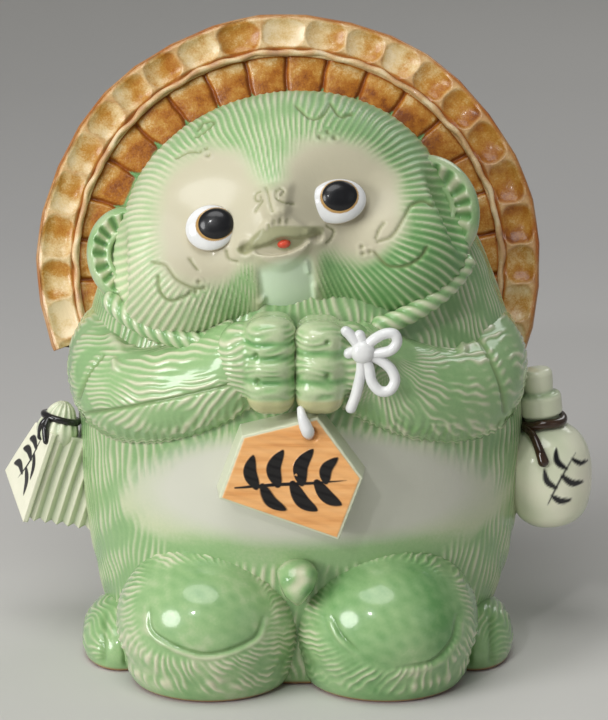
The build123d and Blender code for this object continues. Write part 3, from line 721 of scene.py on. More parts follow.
def head_field(x, y, z):
    return face_field(*local(x, y, z, HEAD_CENTRE, FACE_AXES))


# Bare part of the face and the olive part round the mouth, outlined in pixels of the photo
FACE_PATCH = [
    (158, 222), (160, 202), (165, 184), (176, 168), (192, 156), (212, 149), (232, 152), (246, 163),
    (258, 178), (272, 184), (284, 173), (290, 155), (302, 145), (322, 140), (346, 142), (366, 150),
    (384, 164), (397, 182), (403, 202), (402, 222), (396, 238), (384, 250), (366, 259), (348, 258),
    (332, 252), (321, 250), (314, 262), (314, 290), (314, 318), (287, 324), (260, 318), (261, 290),
    (261, 275), (254, 263), (243, 262), (232, 272), (216, 282), (198, 286), (180, 281), (168, 268),
    (161, 248),
]
MOUTH_PATCH = [
    (236, 249), (246, 243), (254, 235), (262, 229), (276, 226), (292, 226), (308, 226), (323, 227),
    (322, 234), (307, 239), (298, 247), (285, 251), (271, 247), (256, 250), (244, 255),
]
MM_PER_FACE_PIXEL = 0.36

# Lines pressed into the face, drawn where the photo has them: route and width in pixels
FACE_LINES = [
    ([(152, 262), (166, 266), (176, 279), (190, 287), (201, 289)], 1.5),
    ([(158, 277), (160, 292), (170, 301), (186, 296), (192, 290)], 1.5),
    ([(378, 242), (392, 236), (404, 218), (412, 205), (424, 201), (434, 206)], 1.7),
    ([(374, 252), (388, 266), (406, 266), (420, 258), (427, 248)], 1.6),
    ([(376, 238), (379, 230), (384, 223)], 1.3),
    ([(190, 259), (194, 265), (198, 270)], 1.3),
    ([(237, 262), (229, 259), (226, 251)], 1.3),
    ([(327, 226), (334, 231), (331, 239), (327, 243)], 1.3),
    ([(196, 137), (206, 130), (214, 122), (204, 122), (198, 130)], 1.3),
    ([(176, 158), (188, 152), (197, 152)], 1.3),
    ([(296, 106), (310, 118), (322, 116), (330, 103)], 1.3),
    ([(330, 103), (340, 116), (352, 114)], 1.3),
    ([(266, 187), (269, 200), (272, 211)], 1.2),
    ([(260, 191), (255, 194), (255, 200), (259, 201), (260, 197)], 1.1),
    ([(262, 201), (258, 207), (255, 211)], 1.1),
    ([(276, 190), (276, 197), (281, 201), (287, 203), (294, 204)], 1.2),
    ([(281, 195), (284, 191), (281, 188), (278, 190)], 1.1),
]
FACE_DOTS = [
    (199, 282, 2.0), (196, 292, 2.4), (204, 288, 2.0),
    (362, 247, 2.0), (370, 252, 2.0), (363, 254, 2.0),
    (200, 151, 2.0), (208, 155, 2.0), (206, 148, 2.0),
    (320, 137, 2.0), (328, 132, 2.0), (335, 138, 2.2),
]
TEETH = ((266, 227), (271, 223), (277, 222), (284, 222))
TOOTH_ROOT = 3
TOOTH_TIP = 2
TOOTH_WIDTH = 1.5
GAP_TOP = 2.8
GAP_FOOT = 2.6
GAP_WIDTH = 1.0
TOOTH_LINES = [([(x, y - TOOTH_ROOT), (x, y + TOOTH_TIP)], TOOTH_WIDTH) for x, y in TEETH]
TOOTH_GAPS = [
    ([(x + GAP_TOP, y - TOOTH_ROOT), (x + GAP_FOOT, y + TOOTH_TIP - 1)], GAP_WIDTH) for x, y in TEETH
]
THROAT_BEADS = [
    ([(306, 262), (308, 271)], 2.6),
    ([(315, 286), (316, 296)], 2.6),
    ([(264, 296), (260, 302)], 2.4),
]
HEAD_BOX = ((-80, -76, 98), (72, 42, 226))
HEAD_GRID = 0.67
HEAD_STRANDS = 112.0
STRAND_RISE = 0.62
STRAND_SINK = 0.12


def make_head():
    points, quads, normal = skin(head_field, *HEAD_BOX, HEAD_GRID)
    p, q, s = local(*points.T, HEAD_CENTRE, FACE_AXES)
    px, py = photo(points)
    edge = MM_PER_FACE_PIXEL * outline_gap(px, py, FACE_PATCH) + 0.6 * lumps(points, 9.0, 3)
    edge = np.where(s > 6.0, edge, 20.0)
    fur = step_up(-2.0, 4.5, edge)
    # Strands run out from a line between the eyes, closer together below it than above
    spread = np.arccosh(((p - FACE_MID) + 1j * (q + 2.0)) / 27.0)
    turn, away = spread.imag, spread.real
    crowd = np.where(turn > 0.0, 12.0, 48.0) * (0.5 * turn - 0.25 * np.sin(2.0 * turn))
    sway = 0.14 * np.sin(5.0 * away + 3.0 * np.sin(3.0 * turn)) + 0.14 * lumps(points, 22.0, 5)
    ridge = strands((HEAD_STRANDS * turn + crowd) / TAU + sway, 0.23)
    ridge = ridge * np.clip(0.85 + 0.3 * lumps(points, 14.0, 7), 0.3, 1.0)
    ridge = ridge * (0.45 + 0.55 * step_up(6.0, 17.0, s))
    facing = step_up(0.1, 0.4, -(normal @ VIEW)) * (s > 0)
    line = drawn_all(px, py, FACE_LINES) * facing
    teeth = drawn_all(px, py, TOOTH_LINES) * facing
    gaps = drawn_all(px, py, TOOTH_GAPS) * facing
    bead = drawn_all(px, py, THROAT_BEADS) * facing
    pit, ring = np.zeros((2, len(points)))
    for x, y, size in FACE_DOTS:
        gap = np.hypot(px - x, py - y)
        pit = np.maximum(pit, bell(gap, size) * facing)
        ring = np.maximum(ring, bell(gap - 1.9 * size, 0.7 * size) * facing)
    calm = held(1.0 - 1.2 * np.maximum(line, np.maximum(pit, ring)))
    lift = fur * (STRAND_RISE * ridge * calm - STRAND_SINK)
    lift = lift - 0.7 * line - 0.7 * pit + 0.35 * ring + 0.6 * teeth + 1.0 * bead
    points = points + lift[:, None] * normal
    mid, nose, _, _, _, throat = (value * (s > 10) for value in features(p, q))
    # Glaze pools deeper in the grooves under the cheeks, more so towards the figure's left; the extra depth
    # on the figure's left, away from the key lamp, is painted shade, and the paler grooves on the figure's
    # right are painted light
    valley = 0.66 + 0.24 * step_up(-4.0, -26.0, q) * step_up(-30.0, 20.0, p) + 0.14 * step_up(10.0, 40.0, p)
    valley = valley - 0.2 * step_up(-25.0, -45.0, p)
    depth = 0.58 + 0.3 * step_up(0.0, 30.0, p) * step_up(0.0, -20.0, q)
    pool = held(fur * (valley - depth * ridge * calm) + (0.28 - 0.16 * throat) * (1 - fur))
    tint = bell(mid, 5.5) * step_up(1.0, 9.0, q)
    pale = step_up(6.0, -5.0, edge) * (1.0 - 0.9 * throat) * (1.0 - 0.7 * tint)
    olive = step_up(1.5, -1.5, outline_gap(px, py, MOUTH_PATCH)) * facing
    shade = np.clip(0.9 * olive + 0.15 * nose, 0.0, 0.9) * (1.0 - teeth)
    shade = np.maximum(shade, np.maximum(0.95 * np.maximum(line, pit), gaps))
    piece(
        "head", (points, quads, NO_TRIS), celadon_face, "celadon_glaze",
        ["head_shell", "muzzle", "nose", "lower_lip", "throat"],
        pool=pool, pale=pale, line=shade, mint=throat,
    )


make_head()


# Lens-shaped pad, thickest in the middle
def lens(centre, axes, wide, high, bulge, sunk, rings=36, sides=96):
    angle = TAU * np.arange(sides) / sides
    shares = np.linspace(0.02, 1.0, rings)
    heights = bulge * (1.0 - shares**2.6) ** 0.62
    rows = []
    for share, height in zip([*shares, 0.96], [*heights, -sunk]):
        row = (share * wide * np.cos(angle), share * high * np.sin(angle), np.full(sides, height))
        rows.append(np.stack(row, axis=-1))
    return wrap(centre + np.array(rows) @ np.array(axes))


# Eyes: pixels of the white pad and of its pellet, half sizes of the pad, and how far it stands out
EYES = {
    "right": ((211, 228.5), (215, 224), 9.1, 8.3, 2.0),
    "left": ((337, 202), (339.5, 196.5), 10.6, 8.1, 1.5),
}
EYE_TURN = 2.4
EYE_BULGE = 2.8
EYE_FOOT = 6.0
PUPIL_WIDE = 6.7
PUPIL_HIGH = 5.8
PUPIL_LEVEL = 2.2
PUPIL_BULGE = 2.4
PUPIL_SINK = 0.6
PUPIL_FOOT = 2.0


# Oval white pad on the face with a fine tan ring round its glossy pellet
def make_eye(name, white_pixel, pupil_pixel, wide, high, lift):
    spot = pin(head_field, white_pixel)
    out = unit(probe(head_field, spot[None, :])[1][0] + EYE_TURN * HAT_FRONT)
    along = unit(FACE_X - out * (FACE_X @ out))
    axes = (along, np.cross(out, along), out)
    base = spot + out * lift
    parts = lens(base, axes, wide, high, EYE_BULGE, EYE_FOOT)
    ray = sight(*pupil_pixel)
    pupil = EYE + ray * (((base + out * PUPIL_LEVEL - EYE) @ out) / (ray @ out))
    offset = parts[0] - pupil
    far = np.hypot((offset @ axes[0]) / PUPIL_WIDE, (offset @ axes[1]) / PUPIL_HIGH)
    tan = step_up(1.07, 1.04, far) + 0.8 * step_up(0.5, -0.3, (parts[0] - base) @ out)
    piece(name + "_eye_white", parts, white_glaze, "white_glaze", ink=tan, pool=0.0)
    parts = lens(pupil - out * PUPIL_SINK, axes, PUPIL_WIDE, PUPIL_HIGH, PUPIL_BULGE, PUPIL_FOOT)
    piece(name + "_pupil", parts, black_glaze, "black_glaze")


for eye_name, eye_values in EYES.items():
    make_eye(eye_name, *eye_values)

# Tongue in the mouth
TONGUE_PIXEL = (284, 243.5)
TONGUE_SIZE = (2.5, 1.6, 2.2, 2.0)
TONGUE_SINK = 0.6
tongue_at = pin(head_field, TONGUE_PIXEL) - HAT_FRONT * TONGUE_SINK
piece("tongue", lens(tongue_at, FACE_AXES, *TONGUE_SIZE, 16, 40), red_glaze, "red_glaze")

# Ears: place across, up and forward on the face, then half width and half height
EARS = {
    "right_ear": ((-59.5, -3.0, 9.0), 15.6, 18.6),
    "left_ear": ((52.5, -10.0, 10.0), 19.4, 21.6),
}
EAR_RADIUS = 20.0
EAR_EDGE = 6.0
EAR_DISH = (17.4, 17.4, 10.2)
EAR_ROLL_AT = (9.6, 3.4)
EAR_ROLL = 1.4
EAR_RIBS = 17
EAR_BOX = 24.0
EAR_GRID = 0.5


# Dished ear with a rolled rim and short pressed ribs inside it
def make_ear(name, place, wide, high):
    origin = HEAD_CENTRE + np.array(place) @ np.array(FACE_AXES)

    def stretched(x, y, z):
        p, q, s = local(x, y, z, origin, FACE_AXES)
        return p * EAR_RADIUS / wide, q * EAR_RADIUS / high, s

    def field(x, y, z):
        p, q, s = stretched(x, y, z)
        far = np.sqrt(p * p + q * q)
        a, b = far - (EAR_RADIUS - EAR_EDGE), np.abs(s) - 1.2
        disc = np.sqrt(np.maximum(a, 0) ** 2 + np.maximum(b, 0) ** 2) + np.minimum(np.maximum(a, b), 0.0)
        dish = ellipsoid(p, q, s, (0.0, 0.0, 11.0), EAR_DISH)
        solid = smax(disc - EAR_EDGE, -dish, 1.2)
        roll = np.sqrt((far - EAR_ROLL_AT[0]) ** 2 + (s - EAR_ROLL_AT[1]) ** 2) - EAR_ROLL
        return smin(solid, roll, 1.6)

    points, quads, normal = skin(field, origin - EAR_BOX, origin + EAR_BOX, EAR_GRID)
    p, q, s = stretched(*points.T)
    far, angle = np.hypot(p, q), np.arctan2(q, p)
    inside = step_up(10.2, 11.4, far) * step_up(17.2, 15.6, far) * (s > 0)
    rib = comb(angle * EAR_RIBS / TAU + 0.1 * np.sin(5 * angle))
    points = points + (inside * (0.6 - 1.4 * rib))[:, None] * normal
    pool = 0.48 + inside * (0.85 * rib - 0.36) + 0.1 * lumps(points, 12.0, 11)
    piece(name, (points, quads, NO_TRIS), celadon, "celadon_glaze", pool=held(pool))


for ear_name, ear_values in EARS.items():
    make_ear(ear_name, *ear_values)

# Hat: a disc in its own plane, cut level where it meets the shoulders
HAT_TRIM = 112.0
FLUTE_STEP = math.radians(10.2)
FLUTE_START = math.radians(96.9)
FLUTE_MIDDLE = 91.6
FLUTE_HALF = 6.7
FLUTE_DEPTH = 2.4
SEGMENT_STEP = math.radians(11.75)
SEGMENT_START = math.radians(90.8)
BRIM_ENDS = (math.radians(-21.0), math.radians(201.0))
BRIM_FRONT = ((83.0, -0.6), (85.0, -0.2), (86.4, 1.3), (97.0, 3.0), (98.4, 2.4))
BRIM_BACK = ((97.0, -5.0), (83.0, -8.8))
BRIM_COLUMNS = 960
BRIM_SEED = 17
BRIM_MOODS = 80
FRONT_ROWS = 60
RIM_ROWS = 14
LIT_RIM_ROWS = 6
BACK_ROWS = 12


# Grid of radii by angles
def polar(radius, angle):
    return np.meshgrid(radius, angle, indexing="ij")


# Points of the hat from radius, angle and distance forward
def hat_points(radius, angle, front):
    along, up = radius * np.cos(angle), radius * np.sin(angle)
    lowest = (HAT_TRIM - HAT_CENTRE[2] - front * HAT_FRONT[2]) / HAT_UP[2]
    up = np.maximum(up, lowest)
    return HAT_CENTRE + along[..., None] * SIDE + up[..., None] * HAT_UP + front[..., None] * HAT_FRONT


# Brim: round thumb marks with soft pale ridges between them, and a worn rust edge
def make_brim():
    angle = np.linspace(*BRIM_ENDS, BRIM_COLUMNS)
    # Section: across the front, round the rim, and back along the back
    front_line, back_line = np.array(BRIM_FRONT), np.array(BRIM_BACK)
    front_r = np.linspace(front_line[0, 0], front_line[-1, 0], FRONT_ROWS)
    turn = np.linspace(math.radians(60), math.radians(-75), RIM_ROWS)
    back = np.linspace(back_line[0], back_line[1], BACK_ROWS)
    radius = np.concatenate([front_r, 97.2 + 2.4 * np.cos(turn), back[:, 0]])
    height = np.concatenate([np.interp(front_r, *front_line.T), -0.6 + 3.6 * np.sin(turn), back[:, 1]])
    r, a = polar(radius, angle)
    w = np.repeat(height[:, None], len(angle), axis=1)
    row = np.arange(len(radius))[:, None] * np.ones_like(a)
    front = (row < FRONT_ROWS + LIT_RIM_ROWS) * 1.0
    cell = (a - FLUTE_START) / FLUTE_STEP + 0.10 * np.sin(5 * a + 1.0) + 0.015 * np.sin(0.8 * r + 9 * a)
    aside = np.abs((cell % 1.0) - 0.5) * 2.0
    moods = np.random.default_rng(BRIM_SEED).uniform(-1.0, 1.0, BRIM_MOODS)
    mood = moods[np.floor(cell).astype(int) % BRIM_MOODS]
    dish = held(1.0 - aside**2.3 - np.abs((r - FLUTE_MIDDLE) / (FLUTE_HALF + 0.4 * mood)) ** 2.8)
    w = w - front * (FLUTE_DEPTH + 0.5 * mood) * dish
    edge = np.where(row >= FRONT_ROWS, 1.0, step_up(97.2, 98.4, r))
    r = r - step_up(92.0, 98.0, r) * (0.35 * (1.0 - aside**2) + 0.35 * np.sin(9 * a + 2.0))
    edge = edge * (0.72 + 0.28 * np.sin(7 * a + 1.0) * np.sin(17 * a))
    seam = bell(r - 85.4, 0.7) * front
    blush = (0.32 * mood + 0.14 * np.sin(TAU * cell + 1.5 * mood)) * step_up(0.0, 0.4, dish)
    # Slow tone round the brim with a three-fold wave; the cos term darkens the brim towards the figure's
    # left, away from the key lamp, as painted shade
    tone_and_side_shade = 0.12 + 0.07 * np.cos(a) + 0.08 * np.sin(3 * a + 0.6)
    pool = front * (tone_and_side_shade + blush) + 0.25 * seam
    edge = np.maximum(edge, 0.8 * seam)
    pale = front * 0.3 * step_up(0.35, 0.0, dish) * (1.0 - edge)
    # Columns of the grid become rows: the section closes to a ring and the two ends get caps
    parts = wrap(np.swapaxes(hat_points(r, a, w), 0, 1))
    piece(
        "hat_brim", parts, hat_outer, "hat_glaze",
        pool=capped(pool.T), edge=capped(edge.T), pale=capped(pale.T), moss=0.0,
    )


make_brim()

# Underside: plain blocks cut apart by narrow slits, with green glaze that ran up from the head
RUN_UP = 4.4
UNDERSIDE_ENDS = (84.6, 40.0)
UNDERSIDE_COLUMNS = 1080
UNDERSIDE_FRONT = -2.3
UNDERSIDE_BACK = -8.0
SLIT_WIDTH = 0.8
SLIT_DEPTH = 1.5
MOSS_SCALE = 1.05


def make_underside():
    angle = np.linspace(0.0, TAU, UNDERSIDE_COLUMNS, endpoint=False) - 0.5 * math.pi
    outer, inner = UNDERSIDE_ENDS
    radius = np.concatenate([np.linspace(inner, 50.0, 4), np.linspace(51.0, outer, 70)])
    r, a = polar(radius, angle)
    cell = (a - SEGMENT_START) / SEGMENT_STEP + 0.03 * np.sin(4 * a) + 0.012 * np.sin(r * 0.5 + 7 * a)
    cut = bell(np.abs((cell + 0.5) % 1.0 - 0.5) * SEGMENT_STEP * r, SLIT_WIDTH)
    w = UNDERSIDE_FRONT - SLIT_DEPTH * cut + 0.45 * np.sin(np.pi * (cell % 1.0)) * step_up(54, 66, r)
    rb, ab = polar(UNDERSIDE_ENDS, angle)
    rows = np.concatenate([hat_points(r, a, w), hat_points(rb, ab, np.full_like(rb, UNDERSIDE_BACK))])
    p, q = (rows - HEAD_CENTRE) @ FACE_X, (rows - HEAD_CENTRE) @ FACE_Y
    outside = np.hypot(p / (MOSS_SCALE * HEAD_WIDE), (q - RUN_UP) / (MOSS_SCALE * HEAD_HIGH))
    outside = (outside - 1.0) * 56.0
    slit = np.concatenate([cut, np.zeros_like(rb)])
    spots = lumps(rows.reshape(-1, 3), 10.0, 21).reshape(outside.shape)
    every = np.concatenate([r, rb])
    ring = bell(every - 82.9, 0.5)
    band = step_up(75.0, 80.0, every) * (1.0 - slit)
    # The slits get a deeper pool and the dark edge colour: glaze gathered in them together with painted
    # shade in the narrow cuts
    pool = 0.45 * slit + 0.20 * step_up(14.0, 2.0, outside) + 0.10 * spots + 0.4 * ring - 0.12 * band
    creep = 1.3 + 0.6 * spots + 4.2 * slit
    moss = step_up(creep + 0.6, creep - 0.6, outside)
    edge = 0.8 * slit + 0.5 * ring
    piece(
        "hat_underside", wrap(rows), hat_inner, "hat_glaze",
        pool=capped(pool), moss=capped(moss), edge=capped(edge), pale=0.0,
    )


make_underside()

# Cord in the seam of the hat
RING_RADIUS = 84.1
RING_THICK = 1.15
RING_MARGIN = 0.005


def make_ring_cord():
    angle = np.linspace(BRIM_ENDS[0] + RING_MARGIN, BRIM_ENDS[1] - RING_MARGIN, 900)
    radius = RING_RADIUS + 0.35 * np.sin(23 * angle) + 0.25 * np.sin(41 * angle)
    front = 0.1 + 0.2 * np.sin(31 * angle)
    thick = RING_THICK + 0.12 * np.sin(57 * angle) + 0.1 * np.sin(17 * angle)
    parts = bar(hat_points(radius, angle, front), thick[:, None], 16)
    pool = 0.15 + 0.2 * lumps(parts[0], 10.0, 31)
    piece("hat_ring_cord", parts, hat_outer, "cord_glaze", pool=pool, edge=0.05, pale=0.45, moss=0.0)


make_ring_cord()

# Back of the hat: ribs of straw from the top to the brim, held by rings
CROWN_COLUMNS = 960
CAP_ROWS = 16
CONE_ROWS = 52
CROWN_CAP = 35.8
CROWN_CAP_RISE = 7.5
CROWN_TOP = -47.0
CROWN_RIM = 97.6
CROWN_RIM_FRONT = -5.2
CROWN_INSIDE = (92.0, 30.0)
CROWN_INSIDE_FRONT = -8.2
STRAW_RIBS = 96
STRAW_RINGS = (22.0, 48.0, 72.0, 94.0)


def make_crown():
    angle = np.linspace(0.0, TAU, CROWN_COLUMNS, endpoint=False)
    cap_r = np.linspace(1.0, 34.0, CAP_ROWS)
    ball = (CROWN_CAP**2 + CROWN_CAP_RISE**2) / (2.0 * CROWN_CAP_RISE)
    cap_w = CROWN_TOP + ball - np.sqrt(ball**2 - cap_r**2)
    radius = np.concatenate([cap_r, np.linspace(CROWN_CAP, CROWN_RIM, CONE_ROWS)])
    height = np.concatenate([cap_w, np.linspace(CROWN_TOP + CROWN_CAP_RISE, CROWN_RIM_FRONT, CONE_ROWS)])
    r, a = polar(radius, angle)
    w = np.repeat(height[:, None], len(angle), axis=1)
    rib = comb(a * STRAW_RIBS / TAU + 0.12 * np.sin(6 * a + 0.09 * r))
    fade = step_up(4.0, 22.0, r)
    rings = np.max([bell(r - at, 1.7) for at in STRAW_RINGS], axis=0)
    w = w + fade * 0.5 * rib * (1.0 - rings) - 0.5 * rings
    rf, af = polar(CROWN_INSIDE, angle)
    rows = np.concatenate([hat_points(r, a, w), hat_points(rf, af, np.full_like(rf, CROWN_INSIDE_FRONT))])
    pool = np.concatenate([fade * 0.5 * rib + 0.25 * rings, np.zeros_like(rf)])
    edge = np.concatenate([0.5 * rings, np.zeros_like(rf)])
    marks = {"pool": capped(pool), "edge": capped(edge), "moss": 0.0, "pale": 0.0}
    piece("hat_crown", wrap(rows), hat_back, "hat_glaze", **marks)


make_crown()

# Trunk: rows of its recess and of its skin, as scale, height and inset
BODY_COLUMNS = 840
WALL = 6.5
RECESS_HEIGHTS = (30.0, 20.0, 8.0, 0.4)
RECESS_ROWS = [(0.3, 30.0, WALL)] + [(1.0, z, WALL) for z in RECESS_HEIGHTS] + [(1.0, 0.0, WALL - 0.9)]
FOOT_ROWS = [(1.0, 0.0, 1.6), (1.0, 0.5, 0.5), (1.0, 1.3, 0.1), (1.0, 2.4, 0.0)]
SIDE_ROWS = [(1.0, z, 0.0) for z in np.linspace(3.8, 160.0, 104)]
TOP_ROWS = [(1.0, 163.0, 0.4), (1.0, 165.5, 1.4), (1.0, 167.2, 3.2), (1.0, 168.0, 6.0)]
BODY_STRANDS = 140
FLASK_SIDE_SWELL = 3.0
CHEST_SINK = 4.5

# Belly, in pixels of the photo: its bare patch and its pale glow as ellipses, and limits down it
BARE_PIXELS = ((311.0, 497.0), (184.0, 70.0))
GLOW_PIXELS = ((311.0, 488.0), (188.0, 60.0))
FRINGE_PIXELS = (490.0, 470.0)
FRINGE_STEP = 7.5
DUSK_PIXELS = (522.0, 552.0)


# Distance from the middle of an ellipse in the photo, 1 on the ellipse
def oval(px, py, ellipse):
    (cx, cy), (rx, ry) = ellipse
    return np.hypot((px - cx) / rx, (py - cy) / ry)


# Combed flanks and back, a smooth belly, and a recess under it for the floor
def make_body():
    angle = TAU * np.arange(BODY_COLUMNS) / BODY_COLUMNS
    rows = []
    for scale, z, inset in RECESS_ROWS + FOOT_ROWS + SIDE_ROWS + TOP_ROWS:
        share = float(trunk_share(z))
        wide, deep = (BODY_WIDE * share - inset) * scale, (BODY_DEEP * share - inset) * scale
        row = (wide * np.cos(angle), BODY_SHIFT + deep * np.sin(angle), np.full(BODY_COLUMNS, z))
        rows.append(np.stack(row, axis=-1))
    points, quads, tris = parts = wrap(np.array(rows))
    normal = normals(*parts)
    skinned = np.zeros(len(points), bool)
    skinned[len(RECESS_ROWS) * BODY_COLUMNS : len(rows) * BODY_COLUMNS] = True
    x, y, z = points.T
    turn = np.arctan2((y - BODY_SHIFT) / BODY_DEEP, x / BODY_WIDE)
    px, py = photo(points)
    front = step_up(0.05, 0.3, -(normal @ VIEW))
    fringe = strands(px / FRINGE_STEP + 0.5 * lumps(points, 14.0, 46), 0.3) * step_up(*FRINGE_PIXELS, py)
    rim = oval(px, py, BARE_PIXELS) + 0.14 * fringe + 0.03 * lumps(points, 10.0, 41)
    bare = step_up(1.10, 0.94, rim) * front
    wave = 0.9 * np.sin(z / 13.0 + 2.2 * np.sin(4 * turn))
    wave = wave + 0.7 * lumps(points, 22.0, 43) + 0.35 * lumps(points, 9.0, 44)
    firm = np.clip(0.7 + 0.5 * lumps(points, 13.0, 45), 0.1, 1.0)
    ridge = strands(turn * BODY_STRANDS / TAU + 0.5 * wave, 0.25) * firm
    fur = (1.0 - bare) * skinned * step_up(1.0, 7.0, z)
    points = points + (fur * (0.5 * ridge - STRAND_SINK))[:, None] * normal
    swell = step_up(30.0, 80.0, x) * step_up(0.0, 40.0, z) * step_up(150.0, 100.0, z)
    points[:, 0] += FLASK_SIDE_SWELL * swell * skinned
    points[:, 2] -= CHEST_SINK * step_up(118.0, 150.0, z) * step_up(-12.0, -40.0, y) * skinned
    green = 0.25 + 0.3 * step_up(*DUSK_PIXELS, py)
    pool = held(fur * (0.7 - 0.6 * ridge) + (1 - fur) * green)
    pale = step_up(1.10, 0.70, oval(px, py, GLOW_PIXELS)) * front
    marks = {"pool": pool, "pale": pale, "foot": step_up(2.4, 0.8, z)}
    piece("body_shell", (points, quads, tris), celadon_belly, "celadon_glaze", **marks)


make_body()

# Arms: round limbs with strands of fur drawn out from the wrists
ARM_POINTS = [(-59.5, 17.8, 123.0), (-67.2, -13.3, 115.0), (-59.5, -36.6, 110.0), (-16.3, -56.2, 129.5)]
ARM_RADII = [18.45, 20.5, 19.27, 17.63, 15.5]
ARM_SIDES = 300
ARM_STEPS = 401
ARM_ROWS = 190
ARM_STRANDS = 46
WRIST_RISE = 3.2
WRIST_PIXELS = (26.0, 34.0)
HEM_STEP = 8.0


# Cubic through points, as even as a bent strip
def bent_strip(points, count):
    points = np.asarray(points, float)
    shape = points.shape[1:]
    middles = points.reshape(len(points), -1, 3).mean(axis=1)
    points = points.reshape(len(points), -1)
    at = np.concatenate([[0.0], np.cumsum(np.linalg.norm(np.diff(middles, axis=0), axis=1))])
    gaps = np.diff(at)
    total = len(points)
    matrix, right = np.zeros((total, total)), np.zeros(points.shape)
    matrix[0, 0] = matrix[-1, -1] = 1.0
    for n in range(1, total - 1):
        matrix[n, n - 1 : n + 2] = gaps[n - 1], 2 * (gaps[n - 1] + gaps[n]), gaps[n]
        right[n] = 6 * ((points[n + 1] - points[n]) / gaps[n] - (points[n] - points[n - 1]) / gaps[n - 1])
    bend = np.linalg.solve(matrix, right)
    where = np.linspace(0.0, at[-1], count)
    index = np.clip(np.searchsorted(at, where, side="right") - 1, 0, total - 2)
    h = gaps[index][:, None]
    a = ((at[index + 1] - where)[:, None]) / h
    b = 1.0 - a
    line = a * points[index] + b * points[index + 1]
    line = line + ((a**3 - a) * bend[index] + (b**3 - b) * bend[index + 1]) * h * h / 6.0
    return line.reshape(count, *shape)


# Limb through five round sections
def arm_rows():
    path = bent_strip(ARM_POINTS, ARM_STEPS)
    ahead = np.gradient(path, axis=0)
    angle = TAU * np.arange(ARM_SIDES) / ARM_SIDES
    sections = []
    for index, radius in zip(range(0, ARM_STEPS, ARM_STEPS // 4), ARM_RADII):
        along = unit(ahead[index])
        level = unit(np.cross(along, UP))
        rise = np.cross(level, along)
        ring = np.cos(angle)[:, None] * level + np.sin(angle)[:, None] * rise
        sections.append(path[index] + radius * ring)
    return bent_strip(np.array(sections), ARM_ROWS), angle


# Strands on the front of each arm: start, spacing and the crease below, in pixels, LEFT_STEP in radians
RIGHT_FAN = (245.0, 352.0)
RIGHT_REACH = 160.0
RIGHT_STEP = 6.4
RIGHT_CREASE = ((77.0, 160.0, 240.0), (415.0, 401.0, 380.0))
LEFT_FAN = (385.0, 350.0)
LEFT_STEP = 0.095
LEFT_CREASE = (420.0, 428.0)
UNDER_STEP = 7.5


def right_arm_phase(px, py):
    aside, down = RIGHT_FAN[0] - px, py - RIGHT_FAN[1]
    swell = 0.25 + np.sin(math.pi * np.clip(aside / RIGHT_REACH, 0.02, 1.0)) ** 0.8
    below = step_up(-4.0, 4.0, py - np.interp(px, *RIGHT_CREASE))
    return down / (RIGHT_STEP * np.maximum(swell, 0.8)), (0.8 * px + 0.6 * py) / UNDER_STEP, below


def left_arm_phase(px, py):
    aside, down = px - LEFT_FAN[0], py - LEFT_FAN[1]
    fan = (np.arctan2(down, aside) + 0.004 * np.hypot(aside, down)) / LEFT_STEP
    return fan, (0.5 * px - 0.7 * py) / UNDER_STEP, step_up(*LEFT_CREASE, py)


# Grooves and tufts of each arm and the middle of its wrist, in pixels: route and width
RIGHT_ARM = {
    "wrist": (228, 362),
    "cuts": [
        ([(240, 380), (200, 392), (160, 401), (118, 409), (77, 415)], 1.8),
        ([(103, 355), (88, 374), (78, 400), (77, 417)], 1.8),
    ],
    "bumps": [([(112, 338), (120, 346)], 4.5), ([(115, 362), (116, 368)], 3.6)],
}
LEFT_ARM = {
    "wrist": (362, 364),
    "cuts": [([(465, 325), (485, 348), (498, 375), (503, 394), (505, 412)], 2.0)],
    "bumps": [([(444, 340), (450, 340)], 4.5), ([(461, 343), (463, 351)], 4.0)],
}


def make_arm(name, side, seed, phases, details):
    rows, angle = arm_rows()
    points, quads, tris = parts = wrap(rows * np.array([-side, 1.0, 1.0]))
    normal = normals(*parts)
    px, py = photo(points)
    front = step_up(0.12, 0.5, -(normal @ VIEW))
    wander = 0.30 * lumps(points, 20.0, seed) + 0.15 * lumps(points, 8.0, seed + 1)
    around = capped(np.tile(angle, len(rows)))
    run = capped(np.repeat(np.linspace(1.0, 0.0, len(rows)), ARM_SIDES))
    tube = strands((around + 1.1 * run) * ARM_STRANDS / TAU + wander, 0.25)
    upper, lower, below = phases(px, py)
    drawn_fur = (1.0 - below) * strands(upper + wander, 0.24) + below * strands(lower + wander, 0.26)
    firm = np.clip(0.6 + 0.7 * lumps(points, 9.0, seed + 2), 0.05, 1.0)
    line = drawn_all(px, py, details["cuts"]) * front
    bump = drawn_all(px, py, details["bumps"]) * front
    ridge = (front * drawn_fur + (1.0 - front) * tube) * firm * (1.0 - 0.8 * np.maximum(line, bump))
    wrist = bell(oval(px, py, (details["wrist"], WRIST_PIXELS)), 1.0) * front
    hem = step_up(-0.2, -0.75, normal[:, 2]) * step_up(0.3, -0.2, normal[:, 1])
    lift = 0.55 * ridge - STRAND_SINK + WRIST_RISE * wrist + 1.5 * bump - 0.9 * line
    lift = lift + 0.7 * hem * strands(px / HEM_STEP + wander, 0.3)
    pool = held(0.62 - 0.58 * ridge - 0.35 * bump + 0.2 * line)
    points = points + lift[:, None] * normal
    piece(name, (points, quads, tris), celadon, "celadon_glaze", pool=pool, line=0.6 * line)


make_arm("right_arm", -1.0, 61, right_arm_phase, RIGHT_ARM)
make_arm("left_arm", 1.0, 71, left_arm_phase, LEFT_ARM)

